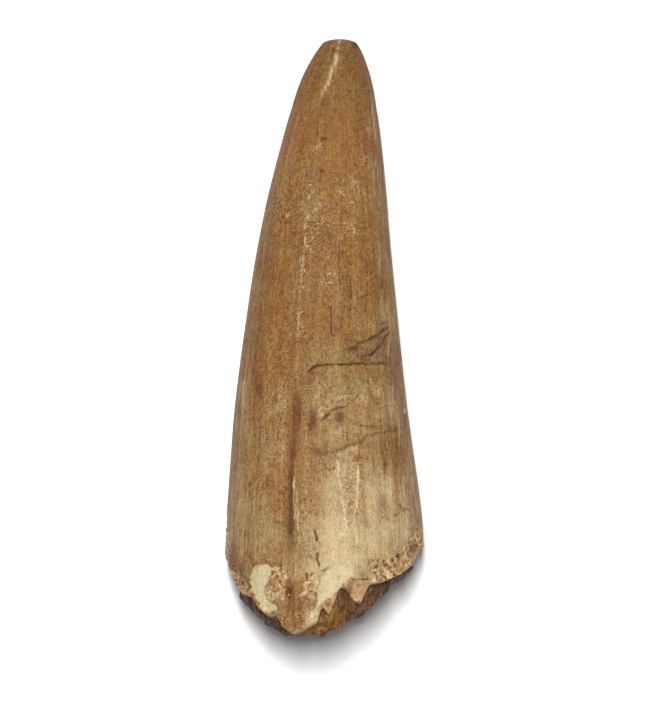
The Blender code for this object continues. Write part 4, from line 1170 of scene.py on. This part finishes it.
def fossil_enamel(colours):
    """Fossil enamel, grown in lengthwise striae and dulled by burial in fine sand.

    It is nearly matt, brown at the tip and tan at the base, with mineral stains. Where it has flaked or
    broken away it shows chalky dentine, and cemented sand crusts the edge of the break.
    """
    material, tree, shader = new_finish("fossil_enamel", 0.62, 1.5)
    shader.inputs["Specular IOR Level"].default_value = 0.28
    names = (*SOFT_MARKS, *PATCHES, "crack", "rubbed_and_highlight")
    mask = {name: node(tree, "Attribute", output=2, attribute_name=name) for name in names}
    grain = node(tree, "Attribute", output=1, attribute_name="grain")
    solid = node(tree, "TexCoord", output=3)
    wave = noises(tree, grain, STRIAE) | noises(tree, solid, MOTTLES)
    cells = {"Vector": solid, "Scale": 1.0 / CRUST_GRAIN, "Randomness": 0.9}
    wave["grains"] = node(tree, "TexVoronoi", cells)

    # How far round the flank each place lies: 0 on top, 1 where the side stands upright.
    upright = node(tree, "SeparateXYZ", {0: grain})
    flank = node(tree, "MapRange", {0: upright, 1: 0.95 * BASE_RADIUS, 2: 0.20 * BASE_RADIUS})
    depth = node(tree, "SeparateXYZ", {0: grain}, 2)

    # The ground colour runs from brown to tan unevenly, and mineral stains lie over it.
    paleness = mask["pale"]
    for name, reach in (("broad", 0.06), ("cloud", 0.09), ("strand", 0.06)):
        shift = node(tree, "MapRange", {0: wave[name], 1: NOISE_LOW, 2: NOISE_HIGH, 3: -reach, 4: reach})
        paleness = node(tree, "Math", {0: paleness, 1: shift}, operation="ADD")
    ends = {0: paleness, 6: opaque(colours.brown), 7: opaque(colours.tan)}
    colour = node(tree, "Mix", ends, 2, data_type="RGBA")
    colour = stained(tree, colour, mask, wave, (
        ("gold", "cloud", 0.35, 0.60, 0.5, 1.0, colours.gold),
        ("olive", "cloud", 0.35, 0.60, 0.5, 1.0, colours.olive),
        ("grey", "mottle", 0.35, 0.60, 0.5, 1.0, colours.grey),
        ("plum", "strand", 0.35, 0.60, 0.75, 1.0, colours.plum),
        ("rust", "mottle", 0.35, 0.60, 0.65, 1.0, colours.rust),
    ))

    # Striae and mottling change its lightness, with painted shade on the flanks and painted light on the
    # flank striae, and it turns redder and greener from place to place.
    shade = enamel_shade(tree, wave, flank, depth, paleness)
    hue = node(tree, "MapRange", {0: wave["cloud"], 1: 0.38, 2: 0.62})
    hue = node(tree, "Mix", {0: hue, 6: REDDER, 7: GREENER}, 2, data_type="RGBA")
    for tint in (shade, hue):
        parts = {0: 1.0, 6: colour, 7: tint}
        colour = node(tree, "Mix", parts, 2, data_type="RGBA", blend_type="MULTIPLY")

    # The rough strip: pinkish ridges over brown pits.
    rough = patch_share(tree, mask["rough"], wave["mottle"], 0.6, -0.35, 0.30, 0.8)
    pits = node(tree, "Math", {0: wave["grit"], 1: wave["speck"]}, operation="ADD")
    ridged = specked(tree, opaque(colours.broken), ((pits, 0.86, 1.10, 1.0, colours.tan),))
    colour = node(tree, "Mix", {0: rough, 6: colour, 7: ridged}, 2, data_type="RGBA")

    # Whitish and dark specks in the gritty marks, then the placed specks and lines. The whitish specks are
    # partly painted glints, and the placed highlights along the keel are painted highlights.
    colour = stained(tree, colour, mask, wave, (
        ("grit", "speck", 0.53, 0.68, 0.0, 0.65, colours.rubbed_and_highlight),
        ("grit", "speck", 0.45, 0.34, 0.0, 0.65, colours.rust),
        ("umber", "speck", 0.30, 0.52, 0.45, 1.0, colours.umber),
        ("highlight_and_speck", "speck", 0.30, 0.52, 0.45, 1.0, colours.rubbed_and_highlight),
        ("rubbed_and_highlight", "speck", 0.30, 0.52, 0.45, 1.0, colours.rubbed_and_highlight),
    ))

    # Cemented sand over the break's edge: peach grains with paler ones, and rusty pits between them. The
    # grains turn brown towards their edges, partly the cement and partly painted shade round each rounded
    # grain.
    sandy = specked(tree, opaque(colours.peach), (
        (wave["mottle"], 0.46, 0.56, 0.9, colours.rubbed_and_highlight), (wave["grains"], 0.50, 0.80, 0.8, colours.brown),
        (wave["grit"], 0.47, 0.36, 0.95, colours.rust), (wave["speck"], 0.40, 0.30, 0.5, colours.rust),
        (mask["umber"], 0.0, 1.0, 1.0, colours.umber), (mask["highlight_and_speck"], 0.0, 1.0, 1.0, colours.rubbed_and_highlight),
        (mask["rust"], 0.0, 1.0, 1.0, colours.rust), (mask["plum"], 0.0, 1.0, 1.0, colours.plum),
    ))
    crusted = patch_share(tree, mask["crust"], wave["grit"], 0.35, -0.05, 0.30)
    colour = node(tree, "Mix", {0: crusted, 6: colour, 7: sandy}, 2, data_type="RGBA")

    # Chalky dentine where the enamel has flaked away, and peach dentine on the sloping breaks.
    chalky = specked(tree, opaque(colours.chalk), (
        (wave["cloud"], 0.46, 0.66, 0.35, colours.tan), (wave["grit"], 0.50, 0.66, 0.5, colours.tan),
        (wave["mottle"], 0.42, 0.30, 0.5, colours.peach),
    ))
    peachy = specked(tree, opaque(colours.broken), ((wave["mottle"], 0.32, 0.54, 1.0, colours.peach),))
    # The enamel's shade, with its painted shade on the flanks and tip, is laid over the chalk and the sloping
    # breaks too.
    lined = {0: 0.45, 6: chalky, 7: shade}
    chalky = node(tree, "Mix", lined, 2, data_type="RGBA", blend_type="MULTIPLY")
    lined = {0: 0.6, 6: peachy, 7: shade}
    peachy = node(tree, "Mix", lined, 2, data_type="RGBA", blend_type="MULTIPLY")
    chalked = patch_share(tree, mask["chalk"], wave["grit"], 0.12, -0.08, 0.10)
    colour = node(tree, "Mix", {0: chalked, 6: colour, 7: chalky}, 2, data_type="RGBA")
    sloped = patch_share(tree, mask["peach"], wave["grit"], 0.0, -0.05, 0.06)
    colour = node(tree, "Mix", {0: sloped, 6: colour, 7: peachy}, 2, data_type="RGBA")

    # Enamel turned milky where it is about to flake, then the cracks.
    clouded = node(tree, "MapRange", {0: wave["dash"], 1: 0.34, 2: 0.58, 3: 0.4})
    share = node(tree, "Math", {0: mask["milk"], 1: clouded}, operation="MULTIPLY")
    colour = node(tree, "Mix", {0: share, 6: colour, 7: chalky}, 2, data_type="RGBA")
    colour = specked(tree, colour, ((mask["crack"], 0.0, 1.0, 1.0, colours.umber),))

    # Sand and chalk are quite matt; between them the skin keeps a dull gloss.
    matt = node(tree, "Math", {0: chalked, 1: crusted}, operation="MAXIMUM")
    gloss = node(tree, "MapRange", {0: wave["mottle"], 1: NOISE_LOW, 2: NOISE_HIGH, 3: 0.55, 4: 0.70})
    roughness = node(tree, "Mix", {0: matt, 2: gloss, 3: 0.88}, data_type="FLOAT")

    # Striae catch the light on the flanks, and grit in the crust and the rough strip.
    relief = node(tree, "Math", {0: wave["speck"], 1: 0.5}, operation="MULTIPLY")
    raised = node(tree, "MapRange", {0: flank, 3: 0.3, 4: 1.0})
    for layer, reach in (
        ("hair", raised), ("stria", raised), ("dash", 0.4), ("grit", crusted), ("grit", rough),
        ("mottle", 0.5),
    ):
        part = node(tree, "Math", {0: wave[layer], 1: reach}, operation="MULTIPLY")
        relief = node(tree, "Math", {0: relief, 1: part}, operation="ADD")
    bump = node(tree, "Bump", {"Height": relief, "Strength": 0.6, "Distance": 0.08 * MM})
    tree.links.new(colour, shader.inputs["Base Color"])
    tree.links.new(roughness, shader.inputs["Roughness"])
    tree.links.new(bump, shader.inputs["Normal"])
    return material


def broken_dentine(colours):
    """Fossil dentine, snapped through at the rim: matt and grainy, peach at its outer edge.

    Iron from the core stains it dark towards the inside.
    """
    material, tree, shader = new_finish("broken_dentine", 0.8, 1.55)
    inward = node(tree, "Attribute", output=2, attribute_name="inward")
    wave = noises(tree, node(tree, "TexCoord", output=3), DENTINE_PATTERNS)
    colour = specked(tree, opaque(colours.peach), (
        (wave["patch"], 0.46, 0.62, 0.6, colours.rubbed_and_highlight), (wave["speck"], 0.46, 0.36, 0.7, colours.rust),
        (inward, 0.25, 0.75, 1.0, colours.red_brown),
    ))
    bump = node(tree, "Bump", {"Height": wave["speck"], "Strength": 0.7, "Distance": 0.08 * MM})
    tree.links.new(colour, shader.inputs["Base Color"])
    tree.links.new(bump, shader.inputs["Normal"])
    return material


def amber_calcite(colours):
    """Dark calcite that crystallised inside the tooth: dull cleavage faces, each of its own depth of colour.

    It runs from grey-brown at the left through amber and red-brown to grey-brown at the right.
    """
    material, tree, shader = new_finish("amber_calcite", 0.65, 1.6)
    shader.inputs["Specular IOR Level"].default_value = 0.22
    solid = node(tree, "TexCoord", output=3)
    wave = noises(tree, solid, CORE_PATTERNS)
    shaken = {0: wave["patch"], 1: NOISE_LOW, 2: NOISE_HIGH, 3: -ZONE_SHAKE, 4: ZONE_SHAKE}
    across = node(tree, "SeparateXYZ", {0: solid})
    across = node(tree, "Math", {0: across, 1: node(tree, "MapRange", shaken)}, operation="ADD")
    colour = specked(tree, opaque(colours.ash), [
        (across, start * MM, (start + ZONE_EDGE) * MM, 1.0, tint)
        for start, tint in (
            (AMBER_START, colours.amber), (RED_BROWN_START, colours.red_brown), (ASH_START, colours.ash),
        )
    ])
    # Large and small crystals: their size in millimetres, and how dark and light they turn.
    for size, darkest, lightest in ((0.8, 0.6, 1.4), (0.34, 0.55, 1.45)):
        cell = node(tree, "TexVoronoi", {"Vector": solid, "Scale": 1.0 / (size * MM)}, 1)
        tone = node(tree, "SeparateColor", {0: cell})
        tone = node(tree, "MapRange", {0: tone, 3: darkest, 4: lightest})
        tone = node(tree, "CombineColor", {0: tone, 1: tone, 2: tone})
        parts = {0: 1.0, 6: colour, 7: tone}
        colour = node(tree, "Mix", parts, 2, data_type="RGBA", blend_type="MULTIPLY")
    colour = specked(tree, colour, (
        (wave["fleck"], 0.52, 0.68, 0.6, colours.broken), (wave["fleck"], 0.46, 0.34, 0.6, colours.umber),
        (wave["speck"], 0.55, 0.70, 0.35, colours.rust), (wave["speck"], 0.44, 0.32, 0.8, colours.umber),
    ))
    bump = node(tree, "Bump", {"Height": wave["speck"], "Strength": 0.8, "Distance": 0.10 * MM})
    tree.links.new(colour, shader.inputs["Base Color"])
    tree.links.new(bump, shader.inputs["Normal"])
    return material


def cemented_sand(colours):
    """Quartz and ironstone sand, rounded by wind: matt grains, each of one tone from pale to rusty."""
    material, tree, shader = new_finish("cemented_sand", 0.7, 1.54)
    tone = node(tree, "Attribute", output=2, attribute_name="tone")
    colour = specked(tree, opaque(colours.pale), (
        (tone, 0.30, 0.80, 1.0, colours.orange), (tone, 0.92, 0.96, 1.0, colours.dark),
    ))
    tree.links.new(colour, shader.inputs["Base Color"])
    return material


def matt_floor(settings):
    """Matt white board, rolled with paint: no gloss, so the floor stays even."""
    material, _, shader = new_finish("matt_white_board", 0.9, 1.45)
    shader.inputs["Base Color"].default_value = opaque(settings.floor_colour)
    shader.inputs["Specular IOR Level"].default_value = 0.1
    return material


class FOSSIL_OT_tooth(bpy.types.Operator):
    """Model the tooth crown with its keels, cracks, flaked patches and broken core"""

    bl_idname = "fossil.tooth"
    bl_label = "Model tooth"

    def execute(self, context):
        settings = context.scene.fossil_tooth
        bpy.ops.object.select_all(action="DESELECT")
        bpy.ops.mesh.primitive_uv_sphere_add(segments=SEGMENTS, ring_count=RINGS, radius=1.0)
        tooth = context.object
        tooth.name = tooth.data.name = "fossil_tooth"
        refine_near_marks(tooth)
        shape_tooth(tooth, settings)
        for finish in (fossil_enamel, broken_dentine, amber_calcite):
            tooth.data.materials.append(finish(settings))
        bpy.ops.object.mode_set(mode="EDIT")
        bpy.ops.mesh.select_all(action="SELECT")
        bpy.ops.mesh.normals_make_consistent(inside=False)
        bpy.ops.object.mode_set(mode="OBJECT")
        bpy.ops.object.shade_smooth_by_angle(angle=SMOOTH_ANGLE)
        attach(tooth, "root")
        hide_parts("tooth")
        return {"FINISHED"}


class FOSSIL_OT_sand(bpy.types.Operator):
    """Strew sand grains over the crust and cement them to the tooth"""

    bl_idname = "fossil.sand"
    bl_label = "Cement sand grains"

    def execute(self, context):
        settings = context.scene.cemented_sand
        mesh = bpy.data.objects["fossil_tooth"].data
        inside = {}
        for name in ("crust", "chalk", "peach", "inward"):
            inside[name] = np.empty(len(mesh.vertices), np.float32)
            mesh.attributes[name].data.foreach_get("value", inside[name])
        bare = (inside["chalk"] < -0.1) & (inside["peach"] < -0.1) & (inside["inward"] < 0.2)
        crusted = np.flatnonzero((inside["crust"] > 0.1) & bare)
        chance = np.random.default_rng(SAND_SEED)
        chosen = chance.choice(crusted, size=min(settings.count, len(crusted)), replace=False)
        sand = bmesh.new()
        tones = sand.verts.layers.float.new("tone")
        for index in chosen:
            spot = mesh.vertices[index]
            radius = settings.smallest + (settings.largest - settings.smallest) * chance.random() ** 2
            turn = Matrix.Rotation(math.tau * chance.random(), 4, Vector(chance.normal(size=3)).normalized())
            flatness = Matrix.Diagonal((1.0, 0.6 + 0.4 * chance.random(), 0.5 + 0.4 * chance.random(), 1.0))
            sunk = spot.co - spot.normal * radius * (0.2 + 0.5 * chance.random())
            sunk.z = max(sunk.z, radius)
            grain = bmesh.ops.create_icosphere(
                sand, subdivisions=1, radius=radius, matrix=Matrix.Translation(sunk) @ turn @ flatness
            )
            tone = chance.random()
            for vertex in grain["verts"]:
                vertex[tones] = tone
                vertex.co += Vector(chance.normal(size=3)) * radius * GRAIN_UNEVENNESS
        for face in sand.faces:
            face.smooth = True
        grains_mesh = bpy.data.meshes.new("sand_grains")
        sand.to_mesh(grains_mesh)
        sand.free()
        grains = bpy.data.objects.new("sand_grains", grains_mesh)
        context.scene.collection.objects.link(grains)
        grains_mesh.materials.append(cemented_sand(settings))
        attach(grains, "root")
        return {"FINISHED"}


class FOSSIL_OT_studio(bpy.types.Operator):
    """Set the pale floor, the soft lights and the camera that looks straight down"""

    bl_idname = "fossil.studio"
    bl_label = "Set studio"

    def execute(self, context):
        settings = context.scene.fossil_studio
        bpy.ops.object.select_all(action="DESELECT")
        bpy.ops.mesh.primitive_plane_add(size=settings.floor_size)
        floor = context.object
        floor.name = "floor"
        floor.data.materials.append(matt_floor(settings))

        centre = Vector((CAMERA_OFF_CENTRE[0], CAMERA_OFF_CENTRE[1], MID_HEIGHT))
        bpy.ops.object.camera_add(location=centre + Vector((0.0, 0.0, CAMERA_RANGE)))
        camera = context.object
        camera.data.lens = CAMERA_LENS
        camera.data.clip_start = 0.01
        context.scene.camera = camera

        for name, (where, width, length), power in (
            ("key_light", KEY_LIGHT, settings.key_power), ("glint_light", GLINT_LIGHT, settings.glint_power),
        ):
            bpy.ops.object.light_add(type="AREA", location=where)
            light = context.object
            light.name = name
            light.rotation_euler = (centre - Vector(where)).to_track_quat("-Z", "Y").to_euler()
            light.data.shape = "RECTANGLE"
            light.data.size = width
            light.data.size_y = length
            light.data.energy = power

        sky = bpy.data.worlds.new("studio_sky")
        sky.use_nodes = True
        background = sky.node_tree.nodes["Background"]
        background.inputs["Strength"].default_value = settings.sky_strength
        background.inputs["Color"].default_value = (1.0, 1.0, 1.0, 1.0)
        context.scene.world = sky
        context.scene.view_settings.view_transform = "Standard"
        return {"FINISHED"}


class FOSSIL_PT_panel(bpy.types.Panel):
    """Lists the tooth's settings and steps"""

    bl_label = "Fossil tooth"
    bl_idname = "FOSSIL_PT_panel"
    bl_space_type = "VIEW_3D"
    bl_region_type = "UI"
    bl_category = "Fossil"

    def draw(self, context):
        for group, operator in (
            (context.scene.fossil_tooth, FOSSIL_OT_tooth),
            (context.scene.cemented_sand, FOSSIL_OT_sand),
            (context.scene.fossil_studio, FOSSIL_OT_studio),
        ):
            box = self.layout.box()
            for name in group.bl_rna.properties.keys():
                if name not in ("rna_type", "name"):
                    box.prop(group, name)
            box.operator(operator.bl_idname)


CLASSES = (
    FossilToothSettings, CementedSandSettings, FossilStudioSettings,
    FOSSIL_OT_tooth, FOSSIL_OT_sand, FOSSIL_OT_studio, FOSSIL_PT_panel,
)


def register():
    for each in CLASSES:
        bpy.utils.register_class(each)
    bpy.types.Scene.fossil_tooth = PointerProperty(type=FossilToothSettings)
    bpy.types.Scene.cemented_sand = PointerProperty(type=CementedSandSettings)
    bpy.types.Scene.fossil_studio = PointerProperty(type=FossilStudioSettings)


def unregister():
    del bpy.types.Scene.fossil_studio
    del bpy.types.Scene.cemented_sand
    del bpy.types.Scene.fossil_tooth
    for each in reversed(CLASSES):
        bpy.utils.unregister_class(each)


def main():
    register()
    bpy.ops.fossil.tooth()
    bpy.ops.fossil.sand()
    bpy.ops.fossil.studio()


if __name__ == "__main__":
    main()
